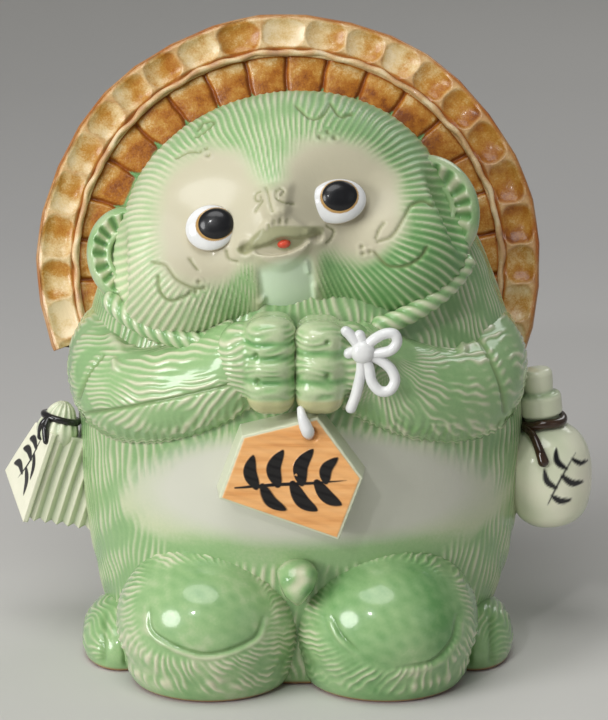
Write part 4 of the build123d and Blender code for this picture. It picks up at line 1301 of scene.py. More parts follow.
# Paws: place across, half width, top, fingers as height, half height and reach, and pixels of their pits
PAW_AT = (-66.0, 131.5)
PAW_FOOT = 19.0
PAW_HALF_DEPTH = 12.6
PAW_ROUND = 6.5
FINGER_DEPTH = 7.6
WRIST_SIZE = (10.0, 14.0, 11.0)
PAW_BOX = np.array([24, 18, 24])
PAW_GRID = 0.45
PAW_PIT = 2.8
RIGHT_FINGERS = ((11.6, 4.6, 12.6), (5.6, 3.6, 13.6), (-1.2, 5.2, 14.4), (-9.2, 4.2, 13.8))
LEFT_FINGERS = ((9.6, 5.4, 13.2), (-0.8, 6.0, 14.4), (-9.4, 4.4, 13.8))
RIGHT_PITS = ((255, 356), (257, 382))
LEFT_PITS = ((328, 343), (328, 377))


# Fingers laid one above another over a plain cuff, wrinkled along them, with a furred sleeve beside them
def make_paw(name, side, across, wide, top, fingers, dots):
    middle = np.array([across, *PAW_AT])

    def field(x, y, z):
        p, q, s = side * (x - middle[0]), z - middle[2], -(y - middle[1])
        half = (top + PAW_FOOT) / 2
        solid = round_box(p, q - (top - half), s, (wide, half, PAW_HALF_DEPTH), PAW_ROUND)
        for up, high, reach in fingers:
            finger = ellipsoid(p, q, s, (0.0, up, reach - 7.4), (wide + 0.1, high, FINGER_DEPTH))
            solid = smin(solid, finger, 1.7)
        return smin(solid, ellipsoid(p, q, s, (wide + 2.0, -1.0, -1.5), WRIST_SIZE), 3.0)

    points, quads, normal = skin(field, middle - PAW_BOX, middle + PAW_BOX, PAW_GRID)
    px, py = photo(points)
    p, q = side * (points[:, 0] - middle[0]), points[:, 2] - middle[2]
    front = step_up(0.1, 0.5, -normal[:, 1])
    cuff = step_up(-12.0, -13.6, q)
    wrinkle = comb(q / 2.5 + 0.6 * lumps(points, 14.0, 81) + 0.05 * p) * front * (1.0 - 0.7 * cuff)
    pits = np.max([bell(np.hypot(px - x, py - y), PAW_PIT) for x, y in dots], axis=0)
    firm = held(0.5 + 0.5 * lumps(points, 10.0, 83))
    sleeve = step_up(wide - 1.0, wide + 2.0, p)
    ridge = strands(q / 2.4 + 0.3 * lumps(points, 14.0, 85) + 0.06 * p, 0.25) * sleeve * front
    wrinkle, cuff = wrinkle * (1.0 - sleeve) * firm, cuff * (1.0 - sleeve)
    points = points + (0.45 * ridge - 0.45 * wrinkle - 1.3 * pits * front)[:, None] * normal
    crease = np.zeros(len(points))
    for (up, high, _), (under, low, _) in zip(fingers, fingers[1:]):
        seam = 0.5 * (up - high + under + low)
        crease = np.maximum(crease, bell(q - seam, 1.1) * (1.0 - sleeve))
    pool = 0.34 + sleeve * (0.26 - 0.5 * ridge) + 0.3 * wrinkle + 0.5 * crease * front + 0.5 * pits
    marks = {"pool": held(pool), "warm": 0.55 * cuff, "line": 0.5 * pits}
    piece(name, (points, quads, NO_TRIS), celadon, "celadon_glaze", **marks)


make_paw("right_paw", -1, -9.4, 8.7, 15.6, RIGHT_FINGERS, RIGHT_PITS)
make_paw("left_paw", 1, 8.2, 8.8, 14.4, LEFT_FINGERS, LEFT_PITS)

# Pouches: middle and half sizes of each dome and routes of the creases at its foot, in pixels
RIGHT_DOME = ((203, 611), (63, 46))
LEFT_DOME = ((391, 614), (64, 50))
RIGHT_CREASES = [[(150, 608), (156, 634), (204, 654), (251, 640), (263, 618)]]
LEFT_CREASES = [[(333, 617), (341, 634), (358, 651)], [(398, 668), (432, 661), (452, 640), (457, 616)]]
CREASE_WIDTH = 2.0
CREASE_LIP_WIDTH = 2.4
CREASE_LIP_SCALE = (1.09, 1.10)
POUCH_AT = (33.0, -45.0, 24.0)
POUCH_SIZE = (35.5, 35.5, 31.0)
POUCH_FOOT_HEIGHT = 7.0
POUCH_FOOT_SIZE = (31.5, 28.0, 16.0)
POUCH_BOX = ((39, 39, 27), (39, 39, 36))
POUCH_GRID = 0.55
POUCH_STRANDS = 62


# Smooth green dome with a ring of fur round it
def make_pouch(name, side, dome, creases, green):
    centre = np.array(POUCH_AT) * [side, 1.0, 1.0]

    def field(x, y, z):
        solid = ellipsoid(x, y, z, centre, POUCH_SIZE)
        foot = ellipsoid(x, y, z, (centre[0], centre[1], POUCH_FOOT_HEIGHT), POUCH_FOOT_SIZE)
        solid = smax(smin(solid, foot, 5.0), -z, 1.2)
        return smax(solid, -side * x, 1.2)

    points, quads, normal = skin(field, centre - POUCH_BOX[0], centre + POUCH_BOX[1], POUCH_GRID)
    px, py = photo(points)
    (cx, cy), (rx, ry) = dome
    front = step_up(0.0, 0.25, -(normal @ VIEW))
    far = oval(px, py, dome)
    turn = np.arctan2((py - cy) / ry, (px - cx) / rx)
    crease, lip = np.zeros((2, len(points)))
    for route in creases:
        near, share = drawn(px, py, route, CREASE_WIDTH)
        fade = np.sin(math.pi * np.clip(share, 0.03, 0.97)) ** 0.5 * front
        crease = np.maximum(crease, near * fade)
        outer = (np.array(route) - (cx, cy)) * CREASE_LIP_SCALE + (cx, cy)
        lip = np.maximum(lip, drawn(px, py, outer, CREASE_LIP_WIDTH)[0] * fade)
    wave = 0.30 * lumps(points, 15.0, 91) + 0.15 * lumps(points, 6.0, 92)
    lean = turn + 0.45 * (far - 1.0) * np.sign(-side)
    patch = np.clip(0.7 + 0.55 * lumps(points, 11.0, 95), 0.1, 1.0) * step_up(3.0, 9.0, points[:, 2])
    ridge = strands(lean * POUCH_STRANDS / TAU + wave, 0.25) * step_up(1.03, 1.2, far) * patch
    ridge = ridge * (1.0 - np.maximum(crease, lip))
    lift = front * (1.2 * held(1.0 - far**2) + 0.6 * ridge) - 0.9 * crease + 0.5 * lip
    points = points + lift[:, None] * normal
    pool = green + 0.10 * lumps(points, 20.0, 96) + 0.06 * lumps(points, 5.0, 98)
    pool = pool - 0.62 * ridge - 0.3 * lip + 0.3 * crease
    marks = {"pool": held(pool), "foot": bare_foot(points), "line": 0.35 * crease}
    piece(name, (points, quads, NO_TRIS), celadon, "pale_glaze", **marks)


# The left pouch, on the side away from the key lamp, gets a deeper pool than the right one: painted shade
make_pouch("right_pouch", -1, RIGHT_DOME, RIGHT_CREASES, 0.60)
make_pouch("left_pouch", 1, LEFT_DOME, LEFT_CREASES, 0.72)

# Pellet between the pouches, wide at the top
TIP_AT = np.array([0.0, -65.7, 45.7])
TIP_SIZE = (7.0, 8.8, 8.8)
TIP_BOX = 14.0
TIP_GRID = 0.45


def make_tip():
    def field(x, y, z):
        narrow = np.clip(1.0 + 0.05 * (z - TIP_AT[2]), 0.4, 1.5)
        return ellipsoid(x / narrow, y, z, TIP_AT, TIP_SIZE)

    points, quads, normal = skin(field, TIP_AT - TIP_BOX, TIP_AT + TIP_BOX, TIP_GRID)
    wave = lumps(points, 7.0, 97)
    points = points + (0.25 * wave)[:, None] * normal
    piece("pouch_tip", (points, quads, NO_TRIS), celadon, "pale_glaze", pool=held(0.45 + 0.25 * wave))


make_tip()

# Feet: low and rounded, with two short grooves between the toes
FOOT_AT = (67.5, -16.0, 6.5)
FOOT_SIZE = (16.6, 26.0, 16.6)
FOOT_BOX = ((21, 32, 10), (21, 30, 20))
FOOT_GRID = 0.5
FOOT_STRANDS = 30
TOE_GROOVES = (-2.0, 7.0)


def make_foot(name, side):
    centre = np.array(FOOT_AT) * [side, 1.0, 1.0]

    def field(x, y, z):
        return smax(ellipsoid(x, y, z, centre, FOOT_SIZE), -z, 1.2)

    points, quads, normal = skin(field, centre - FOOT_BOX[0], centre + FOOT_BOX[1], FOOT_GRID)
    p, q, z = side * (points[:, 0] - centre[0]), points[:, 1] - centre[1], points[:, 2]
    turn = np.arctan2(z - centre[2], p)
    fur = step_up(-25.0, -20.0, q) * step_up(2.0, 7.0, z)
    firm = np.clip(0.7 + 0.5 * lumps(points, 12.0, 102), 0.1, 1.0)
    ridge = strands(turn * FOOT_STRANDS / TAU + 0.5 * lumps(points, 14.0, 101) + 0.06 * q, 0.27) * fur * firm
    seam = np.max([bell(p - across, 1.3) for across in TOE_GROOVES], axis=0)
    seam = seam * step_up(-9.0, -16.0, q) * step_up(1.0, 5.0, z)
    points = points + (0.5 * ridge - 1.0 * seam)[:, None] * normal
    pool = held(0.58 - 0.5 * ridge + 0.15 * fur + 0.3 * seam)
    marks = {"pool": pool, "foot": bare_foot(points), "line": 0.3 * seam}
    piece(name, (points, quads, NO_TRIS), celadon, "celadon_glaze", **marks)


make_foot("right_foot", -1)
make_foot("left_foot", 1)

# Tail: a combed bushy lump low on the back
TAIL_HEIGHT = 30.0
TAIL_SINK = 6.3
TAIL_SIZE = (28.0, 18.0, 18.0)
TAIL_BOX = np.array([32, 24, 32])
TAIL_GRID = 0.6
TAIL_STRANDS = 36


def make_tail():
    share = float(trunk_share(TAIL_HEIGHT))
    centre = np.array([0.0, BODY_SHIFT + BODY_DEEP * share - TAIL_SINK, TAIL_HEIGHT])
    along = unit([0.5, 0.0, 1.0])
    axes = (along, np.cross(DEEP, along), DEEP)

    def field(x, y, z):
        return smax(ellipsoid(*local(x, y, z, centre, axes), (0, 0, 0), TAIL_SIZE), -z, 1.2)

    points, quads, normal = skin(field, centre - TAIL_BOX, centre + TAIL_BOX, TAIL_GRID)
    p, q, s = local(*points.T, centre, axes)
    turn = np.arctan2(q, s)
    sway = 0.35 * np.sin(p / 9.0) + 0.3 * lumps(points, 13.0, 111)
    ridge = strands(turn * TAIL_STRANDS / TAU + sway, 0.25)
    fur = step_up(2.0, 7.0, points[:, 2])
    points = points + (fur * (0.6 * ridge - STRAND_SINK))[:, None] * normal
    marks = {"pool": held(0.6 - 0.55 * ridge * fur), "foot": bare_foot(points)}
    piece("tail", (points, quads, NO_TRIS), celadon, "celadon_glaze", **marks)


make_tail()

# Chin cord, one twisted length to each ear: its route across, up and forward on the face
CHIN_CORDS = {
    "right_chin_cord": [(-71, -16, 14), (-65, -25, 19), (-55, -34, 24), (-42, -41, 28), (-30, -43, 29)],
    "left_chin_cord": [(64, -30, 14), (56, -38, 20), (45, -44.5, 25), (33, -48.5, 28), (22, -50, 29)],
}
CHIN_RADIUS = 3.6
CHIN_PLIES = 3
CHIN_PITCH = 15.0
CHIN_SIDES = 36


def make_chin_cord(name, route):
    path = spline(HEAD_CENTRE + np.array(route) @ np.array(FACE_AXES), 260)
    run = np.concatenate([[0.0], np.cumsum(np.linalg.norm(np.diff(path, axis=0), axis=1))])
    angle = TAU * np.arange(CHIN_SIDES) / CHIN_SIDES
    lobe = np.cos(CHIN_PLIES * (angle[None, :] - TAU * run[:, None] / CHIN_PITCH))
    parts = bar(path, CHIN_RADIUS * (0.88 + 0.16 * np.sqrt(0.5 + 0.5 * lobe)), CHIN_SIDES)
    valley = capped(0.5 - 0.5 * lobe, 0.5, 0.5)
    piece(name, parts, celadon, "cord_glaze", pool=0.2 + 0.55 * valley)


for cord_name, cord_route in CHIN_CORDS.items():
    make_chin_cord(cord_name, cord_route)

# Innermost ring of a slab's face, as a share of its edge
SLAB_START = 0.03


# Slab cut to a polygon, in its own plane: a face of rings round the middle, then sides that run back
def slab(corners, rings, sides, per_side):
    corners = np.asarray(corners, float)
    steps = (np.arange(per_side) / per_side)[:, None]
    edge = np.concatenate([a + (b - a) * steps for a, b in zip(corners, np.roll(corners, -1, axis=0))])
    middle = corners.mean(axis=0)
    away = edge - middle
    out = away / np.linalg.norm(away, axis=1)[:, None]
    level = np.zeros(len(edge))
    shares = np.linspace(SLAB_START, 1.0, rings)
    rows = [np.column_stack([middle + away * share, level]) for share in shares]
    rows += [np.column_stack([edge + out * grow, level - depth]) for depth, grow in sides]
    return np.array(rows)


# Plaque: corners in its own plane, sides as depth and growth, and a branch of leaves
PLAQUE_CORNERS = [(-22.8, 0.3), (22.8, 0.3), (22.8, 24.9), (0.0, 40.6), (-22.8, 24.9)]
PLAQUE_SIDES = [(0.4, 0.3), (1.0, 0.5), (2.0, 0.6), (6.0, 0.8), (14.0, 1.6), (24.0, 3.4)]
PLAQUE_RINGS = 84
PLAQUE_HOLE = 34.2
PLAQUE_LEAVES = [
    ([(-19.0, 6.0), (-6.0, 12.0), (6.0, 17.0), (18.0, 22.5)], 0.7),
    ([(-12.0, 9.0), (-16.0, 13.5), (-17.0, 20.0)], 2.5),
    ([(-5.0, 12.5), (-8.5, 18.0), (-7.5, 25.5)], 2.7),
    ([(3.0, 16.0), (0.5, 22.0), (2.5, 29.5)], 2.7),
    ([(11.0, 19.5), (9.5, 24.0), (12.0, 29.5)], 2.3),
    ([(-10.0, 10.0), (-5.0, 5.6), (1.5, 4.4)], 2.3),
    ([(0.0, 14.5), (5.5, 9.6), (12.0, 8.0)], 2.6),
    ([(8.0, 18.0), (13.5, 14.2), (19.5, 13.0)], 2.5),
]
PLAQUE_AXES = (
    SIDE * math.cos(PLAQUE_TURN) + UP * math.sin(PLAQUE_TURN),
    UP * math.cos(PLAQUE_TURN) - SIDE * math.sin(PLAQUE_TURN),
    -DEEP,
)
PLAQUE_BACK_HEIGHT = 95.0
PLAQUE_FORWARD = 11.0
PLAQUE_Y = BODY_SHIFT - BODY_DEEP * float(trunk_share(PLAQUE_BACK_HEIGHT)) - PLAQUE_FORWARD
PLAQUE_AT = np.array([-6.6, PLAQUE_Y, 73.4])


def make_plaque():
    flat = slab(PLAQUE_CORNERS, PLAQUE_RINGS, PLAQUE_SIDES, 72)
    u, v, _ = np.moveaxis(flat, -1, 0)
    face = (np.arange(len(flat)) < PLAQUE_RINGS)[:, None] * np.ones_like(u)
    ink = leaves(u, v, PLAQUE_LEAVES, 0.22) * face
    hole = np.exp(-((np.hypot(u, v - PLAQUE_HOLE) / 2.4) ** 4))
    share = np.linspace(SLAB_START, 1.0, PLAQUE_RINGS)
    border = np.concatenate([step_up(0.955, 0.985, share), np.ones(len(PLAQUE_SIDES))])
    border = border[:, None] * np.ones_like(u)
    grain = 0.10 * np.sin(v * 1.9 + 0.4 * np.sin(u * 0.3))
    flat[..., 2] += face * (0.25 * ink - 2.2 * hole + grain - 0.25 * border)
    parts = wrap(PLAQUE_AT + flat @ np.array(PLAQUE_AXES))
    marks = {"ink": capped(ink, 0.0, 1.0), "pale": capped(border, 0.0, 1.0)}
    piece("plaque", parts, plaque_glaze, "plaque_glaze", **marks)


make_plaque()

# Cord from the paws into the hole of the plaque: pixels, depths behind the plaque's face, and radii
CORD_PIXELS = [(300, 406), (302, 416), (305, 425), (308, 432), (309, 436)]
CORD_DEPTHS = [1.0, -1.6, -2.2, -1.6, 3.5]
CORD_SWELL = [1.2, 1.7, 2.3, 2.4, 1.6]
CORD_STEPS = 90


def make_plaque_cord():
    path = [at_depth(pixel, PLAQUE_AT[1] + depth) for pixel, depth in zip(CORD_PIXELS, CORD_DEPTHS)]
    path = spline(path, CORD_STEPS)
    last = len(CORD_SWELL) - 1.0
    swell = np.interp(np.linspace(0.0, last, CORD_STEPS), np.arange(len(CORD_SWELL)), CORD_SWELL)
    piece("plaque_cord", bar(path, swell[:, None], 24), white_glaze, "white_glaze", ink=0.0, pool=0.0)


make_plaque_cord()

# Bow on the wrist, a knot, two loops and four ends of rolled cord: routes in pixels, at depths near one
BOW_DEPTH = -73.6
BOW_KNOT = (363, 352)
BOW_LOOPS = [
    [(363, 352), (372, 341), (384, 334), (394, 334), (397, 342), (391, 350), (380, 353), (369, 354)],
    [(365, 355), (369, 368), (372, 382), (380, 391), (390, 390), (395, 380), (390, 368), (378, 359)],
]
BOW_ENDS = [
    [(362, 351), (355, 341), (348, 333), (341, 329)],
    [(361, 352), (352, 352), (344, 356)],
    [(362, 354), (361, 372), (356, 394), (349, 413)],
    [(363, 350), (361, 340), (358, 330)],
]
LOOP_RADIUS = 1.95
END_RADIUS = 2.0
KNOT_SIZE = (4.4, 4.5, 3.0, 3.0)


def make_bow():
    parts = []
    for loop in BOW_LOOPS:
        outs = [1.5 + 1.4 * math.sin(math.pi * n / (len(loop) - 1)) for n in range(len(loop))]
        path = np.array([at_depth(pixel, BOW_DEPTH - out) for pixel, out in zip(loop, outs)])
        parts.append(bar(spline(path, 110, closed=True), LOOP_RADIUS, 20, closed=True))
    for end in BOW_ENDS:
        path = np.array([at_depth(pixel, BOW_DEPTH - (1.8 - 0.5 * n)) for n, pixel in enumerate(end)])
        parts.append(bar(spline(path, 60), END_RADIUS, 20))
    parts.append(lens(at_depth(BOW_KNOT, BOW_DEPTH - 2.2), (SIDE, UP, -DEEP), *KNOT_SIZE, 20, 40))
    piece("wrist_bow", joined(*parts), white_glaze, "white_glaze", ink=0.0, pool=0.0)


make_bow()


# Line with its corners rounded
def eased(points, radius, count=6):
    points = [np.asarray(point, float) for point in points]
    line = [points[0]]
    for before, corner, after in zip(points, points[1:], points[2:]):
        size = min(radius, 0.45 * np.linalg.norm(before - corner), 0.45 * np.linalg.norm(after - corner))
        start = corner + unit(before - corner) * size
        end = corner + unit(after - corner) * size
        for t in np.linspace(0.0, 1.0, count):
            line.append((1 - t) ** 2 * start + 2 * t * (1 - t) * corner + t * t * end)
    line.append(points[-1])
    return np.array(line)


# Line with points put in so that none are far apart
def filled(line, gap):
    out = [line[0]]
    for start, end in zip(line, line[1:]):
        count = max(1, int(np.ceil(np.linalg.norm(end - start) / gap)))
        for n in range(1, count + 1):
            out.append(start + (end - start) * n / count)
    return np.array(out)


# Flask on the hip: profiles as radius and height, a branch of leaves and the tie's ends in pixels
FLASK_LEAN = math.radians(-7.4)
FLASK_UP = SIDE * math.sin(FLASK_LEAN) + UP * math.cos(FLASK_LEAN)
FLASK_OUT = SIDE * math.cos(FLASK_LEAN) - UP * math.sin(FLASK_LEAN)
FLASK_HEIGHT = 70.8
FLASK_RADIUS = 17.5
FLASK_SINK = 4.8
FLASK_X = BODY_WIDE * float(trunk_share(FLASK_HEIGHT)) + FLASK_RADIUS - FLASK_SINK
FLASK_AT = np.array([FLASK_X, -5.0, FLASK_HEIGHT])
FLASK_BULB = [
    (0.4, -22.0), (8.8, -22.0), (13.4, -18.0), (16.4, -9.5), (FLASK_RADIUS, 0.0), (16.6, 8.0), (13.6, 13.6),
    (9.6, 17.0), (7.0, 18.4), (0.4, 18.4),
]
FLASK_NECK = [
    (0.4, 17.0), (6.9, 17.0), (6.9, 21.6), (7.6, 22.2), (8.4, 23.0), (8.5, 29.2), (7.8, 30.6), (6.4, 30.8),
    (5.5, 31.6), (5.9, 34.6), (6.0, 38.8), (5.0, 40.4), (0.4, 40.7),
]
FLASK_FORM = (17.6, 17.6, 21.5)
TIE_HEIGHT = 19.6
TIE_RADIUS = 8.0
TIE_THICK = 1.9
TIE_COLUMNS = 160
TIE_STEPS = 70
TIE_ENDS = [
    [(521, 421), (514, 434), (511, 450), (512, 466)],
    [(525, 423), (533, 436), (540, 452), (545, 467)],
]
FLASK_LEAVES = [
    ([(548, 504), (560, 480), (576, 452)], 1.0),
    ([(552, 496), (561, 501), (572, 499)], 3.2),
    ([(556, 488), (547, 481), (544, 468)], 3.2),
    ([(562, 476), (572, 483), (584, 481)], 3.4),
    ([(566, 469), (557, 461), (556, 447)], 3.3),
    ([(572, 459), (580, 463), (588, 460)], 2.6),
]


# Points round the flask's axis, for radii and heights that may change with the angle
def round_flask(radius, height, angle):
    ring = np.cos(angle)[..., None] * FLASK_OUT + np.sin(angle)[..., None] * DEEP
    return FLASK_AT + radius[..., None] * ring + height[..., None] * FLASK_UP


# Round form turned from a profile with its corners eased
def turned(corners, ease, gap, sides):
    line = filled(eased(corners, ease), gap)
    angle = TAU * np.arange(sides) / sides
    return wrap(round_flask(line[:, None, 0], line[:, None, 1], angle[None, :]))


def flask_form(x, y, z):
    return ellipsoid(*local(x, y, z, FLASK_AT, (FLASK_OUT, DEEP, FLASK_UP)), (0.0, 0.0, 0.0), FLASK_FORM)


def make_flask():
    points, quads, tris = parts = turned(FLASK_BULB, 4.0, 0.8, 220)
    normal = normals(*parts)
    front = step_up(0.05, 0.3, -(normal @ VIEW))
    ink = leaves(*photo(points), FLASK_LEAVES, 0.8) * front
    pool = 0.35 * step_up(12.0, 18.0, (points - FLASK_AT) @ FLASK_UP) + 0.2 * held(lumps(points, 18.0, 121))
    points = points + 0.2 * ink[:, None] * normal
    piece("flask_body", (points, quads, tris), flask_glaze, "flask_glaze", ink=ink, pool=pool)
    parts = turned(FLASK_NECK, 1.1, 0.5, 120)
    up = (parts[0] - FLASK_AT) @ FLASK_UP
    pool = 0.7 * bell(up - 31.2, 1.0) + 0.5 * step_up(24.0, 21.0, up) + 0.25
    piece("flask_neck", parts, flask_glaze, "flask_glaze", ink=0.0, pool=pool)


# Dark tie: a ring round the neck and two ends that lie on the bulb
def make_flask_tie():
    angle = TAU * np.arange(TIE_COLUMNS) / TIE_COLUMNS
    ring = round_flask(np.full(TIE_COLUMNS, TIE_RADIUS), TIE_HEIGHT + 0.4 * np.sin(3 * angle), angle)
    cords = [bar(ring, TIE_THICK, 18, closed=True)]
    knot = FLASK_AT + FLASK_UP * TIE_HEIGHT
    swell = 1.5 + 0.9 * np.linspace(0, 1, TIE_STEPS) ** 2
    for route in TIE_ENDS:
        path = np.array([pin(flask_form, pixel, 0.9) for pixel in route])
        away = path[0] - FLASK_AT
        path[0] = knot + unit(away - FLASK_UP * (away @ FLASK_UP)) * (TIE_RADIUS + 0.6)
        cords.append(bar(spline(path, TIE_STEPS), swell[:, None], 18))
    piece("flask_tie", joined(*cords), brown_glaze, "brown_glaze")


make_flask()
make_flask_tie()

# Ledger on the other hip: a stiff cover, folded leaves and a branch of leaves on its face
LEDGER_TURN = math.radians(25.7)
LEDGER_TILT = math.radians(17.1)
LEDGER_ACROSS = SIDE * math.sin(LEDGER_TURN) - DEEP * math.cos(LEDGER_TURN)
LEDGER_LEVEL = SIDE * math.cos(LEDGER_TURN) + DEEP * math.sin(LEDGER_TURN)
LEDGER_OUT = UP * math.sin(LEDGER_TILT) - LEDGER_LEVEL * math.cos(LEDGER_TILT)
LEDGER_UP = np.cross(LEDGER_OUT, LEDGER_ACROSS)
LEDGER_AT = np.array([-94.0, -18.0, 88.5])
LEDGER_AXES = (LEDGER_ACROSS, LEDGER_UP, LEDGER_OUT)
LEDGER_CORNERS = [(0.0, 0.0), (-5.2, -37.0), (-34.6, -24.5), (-18.0, 0.0)]
LEDGER_LENGTH = 37.0
COVER_DEPTHS = [0.3, 0.8, 1.4, 1.8, 2.2]
LEAF_DEPTHS = np.linspace(2.6, 31.0, 130)
LEDGER_RINGS = 60
LEDGER_STEPS = 44
FOLD_START = 2.2
FOLD_STEP = 4.8
LEDGER_LEAVES = [
    ([(-8.5, -5.0), (-13.0, -15.0), (-20.0, -23.5)], 0.6),
    ([(-10.0, -8.5), (-14.5, -6.2), (-19.0, -7.0)], 1.7),
    ([(-12.0, -13.5), (-17.0, -11.0), (-22.5, -12.0)], 1.8),
    ([(-10.8, -11.0), (-8.0, -15.5), (-8.0, -21.0)], 1.6),
    ([(-14.5, -18.0), (-11.0, -22.0), (-10.5, -28.0)], 1.8),
    ([(-17.0, -20.5), (-22.0, -18.0), (-27.5, -19.5)], 1.7),
]


def make_ledger():
    sides = [(depth, 0.0) for depth in [*COVER_DEPTHS, *LEAF_DEPTHS]]
    flat = slab(LEDGER_CORNERS, LEDGER_RINGS, sides, LEDGER_STEPS)
    u, v, w = np.moveaxis(flat.copy(), -1, 0)
    face = (np.arange(len(flat)) < LEDGER_RINGS)[:, None] * np.ones_like(u)
    ink = leaves(u, v, LEDGER_LEAVES, 0.25) * face
    # Folded leaves show on the first two sides: the one toward the viewer and the one below
    folded = (np.arange(flat.shape[1]) < 2 * LEDGER_STEPS)[None, :] * 1.0
    fold = np.abs(((-w - FOLD_START) / FOLD_STEP) % 1.0 - 0.5) * 2.0
    leaf = step_up(2.0, 2.6, -w)
    toward = flat[..., :2] - np.mean(LEDGER_CORNERS, axis=0)
    toward /= np.maximum(np.linalg.norm(toward, axis=-1, keepdims=True), TINY)
    flat[..., :2] -= (leaf * (0.9 + 1.7 * fold) * folded)[..., None] * toward
    flat[..., 2] += 0.2 * ink + face * 0.35 * np.sin(np.pi * held(-v / LEDGER_LENGTH))
    pool = 0.65 * leaf * fold * folded + 0.35 * leaf * (1 - folded)
    parts = wrap(LEDGER_AT + flat @ np.array(LEDGER_AXES))
    piece("ledger", parts, ledger_glaze, "ledger_glaze", ink=capped(ink), pool=capped(pool))


make_ledger()

# Gathered top of the ledger with its dark tie, placed across, up and out from the ledger's corner
GATHER_AT = LEDGER_AT + np.array([-9.0, 3.2, -5.8]) @ np.array(LEDGER_AXES)
GATHER_SIZE = (6.4, 8.8, 6.4)
WAIST_AT = (0.0, -3.0, 0.0)
WAIST_SIZE = (9.0, 7.0, 8.0)
GATHER_BOX = 13.0
GATHER_GRID = 0.45
GATHER_PLEATS = 14
GATHER_RING = 6.6
GATHER_RING_UP = 2.0
GATHER_COLUMNS = 120
STRING_START = (3.0, 2.0, 6.0)
STRING_TILTS = (-0.5, 0.7)


def make_ledger_tie():
    def field(x, y, z):
        p, q, s = local(x, y, z, GATHER_AT, LEDGER_AXES)
        solid = ellipsoid(p, q, s, (0.0, 0.0, 0.0), GATHER_SIZE)
        return smin(solid, ellipsoid(p, q, s, WAIST_AT, WAIST_SIZE), 2.0)

    points, quads, normal = skin(field, GATHER_AT - GATHER_BOX, GATHER_AT + GATHER_BOX, GATHER_GRID)
    p, q, s = local(*points.T, GATHER_AT, LEDGER_AXES)
    pleat = comb(np.arctan2(s, p) * GATHER_PLEATS / TAU)
    points = points - (0.7 * pleat * step_up(-6.0, 2.0, q))[:, None] * normal
    angle = TAU * np.arange(GATHER_COLUMNS) / GATHER_COLUMNS
    ring = np.cos(angle)[:, None] * LEDGER_ACROSS + np.sin(angle)[:, None] * LEDGER_OUT
    cords = [bar(GATHER_AT + GATHER_RING * ring + GATHER_RING_UP * LEDGER_UP, 1.4, 16, closed=True)]
    for tilt in STRING_TILTS:
        route = np.array([(0.0, 0.0, 0.0), (3.0 * tilt, -4.0, 1.4), (6.0 * tilt, -10.0, 0.0)]) + STRING_START
        cords.append(bar(spline(GATHER_AT + route @ np.array(LEDGER_AXES), 40), 1.3, 14))
    parts = joined((points, quads, NO_TRIS), *cords)
    rest = len(parts[0]) - len(points)
    dark = np.concatenate([np.zeros(len(points)), np.ones(rest)])
    pool = np.concatenate([0.15 + 0.5 * pleat, np.zeros(rest)])
    piece("ledger_tie", parts, ledger_glaze, "brown_glaze", ink=dark, pool=pool)


make_ledger_tie()

# Floor inside the foot of the trunk keeps its solid and gets bare clay
floor_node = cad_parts["base_floor"]
floor_node.data.materials.clear()
floor_node.data.materials.append(bare_clay)

# Plain studio: pale floor that curves up into a grey backdrop, in mm, with the ramp's ends in metres
STAGE_HALF = 3000.0
STAGE_BEND = 2300.0
STAGE_CURVE = 500.0
STAGE_TOP = 2600.0
STAGE_RAMP = (-0.3, 2.3)
# The floor's colour changes with depth, darkest a little behind the figure and palest far back: painted
# light and shade for how the lamps light the floor
STAGE_STOPS = (
    (0.0, (204, 202, 197)),
    (0.24, (194, 192, 188)),
    (0.40, (190, 188, 185)),
    (0.65, (196, 194, 190)),
    (1.0, (214, 212, 207)),
)


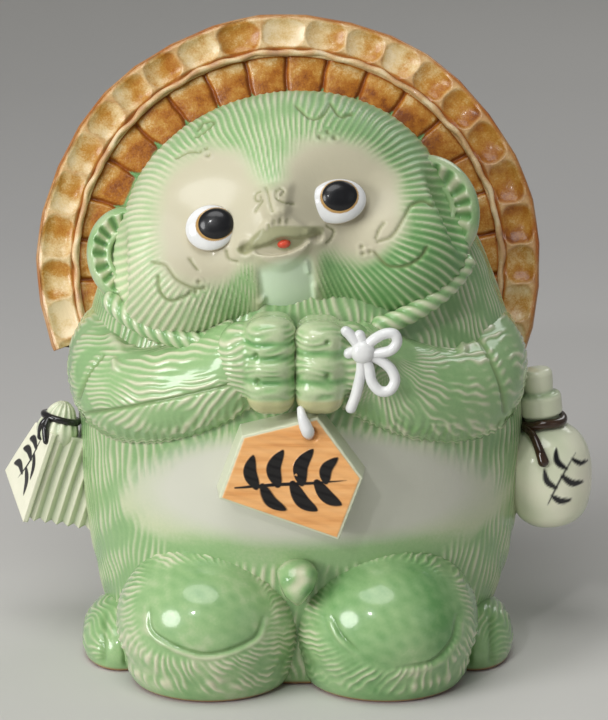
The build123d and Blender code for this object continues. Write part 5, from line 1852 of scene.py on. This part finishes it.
def make_stage():
    bends = np.linspace(0.05, math.pi / 2, 24)
    line = [(-STAGE_HALF, 0.0), (STAGE_BEND, 0.0)]
    line += [(STAGE_BEND + STAGE_CURVE * math.sin(t), STAGE_CURVE * (1.0 - math.cos(t))) for t in bends]
    line += [(STAGE_BEND + STAGE_CURVE, STAGE_TOP)]
    rows = [(x, y, z) for y, z in line for x in (-STAGE_HALF, STAGE_HALF)]
    faces = [(2 * i, 2 * i + 1, 2 * i + 3, 2 * i + 2) for i in range(len(line) - 1)]
    mesh = bpy.data.meshes.new("studio_floor")
    mesh.from_pydata((np.array(rows) * MM).tolist(), [], faces)
    mesh.polygons.foreach_set("use_smooth", np.ones(len(faces), bool))
    finish = Finish("studio_floor_finish", 0.9)
    spot = finish.nodes.new("ShaderNodeSeparateXYZ")
    finish.links.new(finish.place, spot.inputs["Vector"])
    depth = finish.spread(spot.outputs["Y"], *STAGE_RAMP)
    mesh.materials.append(finish.colour(finish.ramp(depth, STAGE_STOPS)))
    thing = bpy.data.objects.new("studio_floor", mesh)
    bpy.context.scene.collection.objects.link(thing)


make_stage()


# Object that looks along its own -Z, from a place in metres and its three directions
def stand(name, data, right, up, back, place):
    matrix = np.eye(4)
    matrix[:3] = np.column_stack([right, up, back, place])
    thing = bpy.data.objects.new(name, data)
    thing.matrix_world = Matrix(matrix.tolist())
    bpy.context.scene.collection.objects.link(thing)
    return thing


# Soft lamp: place, aim and size in metres, and power in watts
def lamp(name, place, aim, size, power):
    data = bpy.data.lights.new(name, "AREA")
    data.shape = "ELLIPSE"
    data.size, data.size_y = size
    data.energy = power
    back = unit(np.array(place) - np.array(aim))
    right = unit(np.cross(UP, back))
    stand(name, data, right, np.cross(back, right), back, place)


CHEST = (0.0, 0.0, 0.1)
lamp("key_lamp", (-1.875, -1.425, 0.775), CHEST, (1.125, 1.125), 36.5)
lamp("top_lamp", (-0.25, -0.55, 1.35), CHEST, (1.1, 0.8), 9.0)
lamp("spark_lamp", (-0.55, -1.25, 0.95), CHEST, (0.1, 0.1), 3.0)
lamp("fill_lamp", (1.2, -0.9, 0.6), CHEST, (0.9, 0.9), 0.6)
lamp("back_lamp", (0.9, 1.3, 1.4), (0.3, 0.5, 0.0), (0.9, 0.9), 5.0)

# Faint even sky
world = bpy.data.worlds.new("studio_world")
bpy.context.scene.world = world
world.use_nodes = True
sky = world.node_tree.nodes["Background"]
sky.inputs["Color"].default_value = (0.9, 0.92, 0.95, 1.0)
sky.inputs["Strength"].default_value = 0.22

# Camera of the photo, with its sensor in mm
SENSOR = 36.0
camera_data = bpy.data.cameras.new("photo_camera")
camera_data.sensor_fit = "AUTO"
camera_data.sensor_width = SENSOR
camera_data.lens = SENSOR * FOCAL / PHOTO_HEIGHT
camera_data.clip_end = 20.0
bpy.context.scene.camera = stand("photo_camera", camera_data, SIDE, VIEW_UP, -VIEW, EYE * MM)
bpy.context.scene.view_settings.view_transform = "Standard"
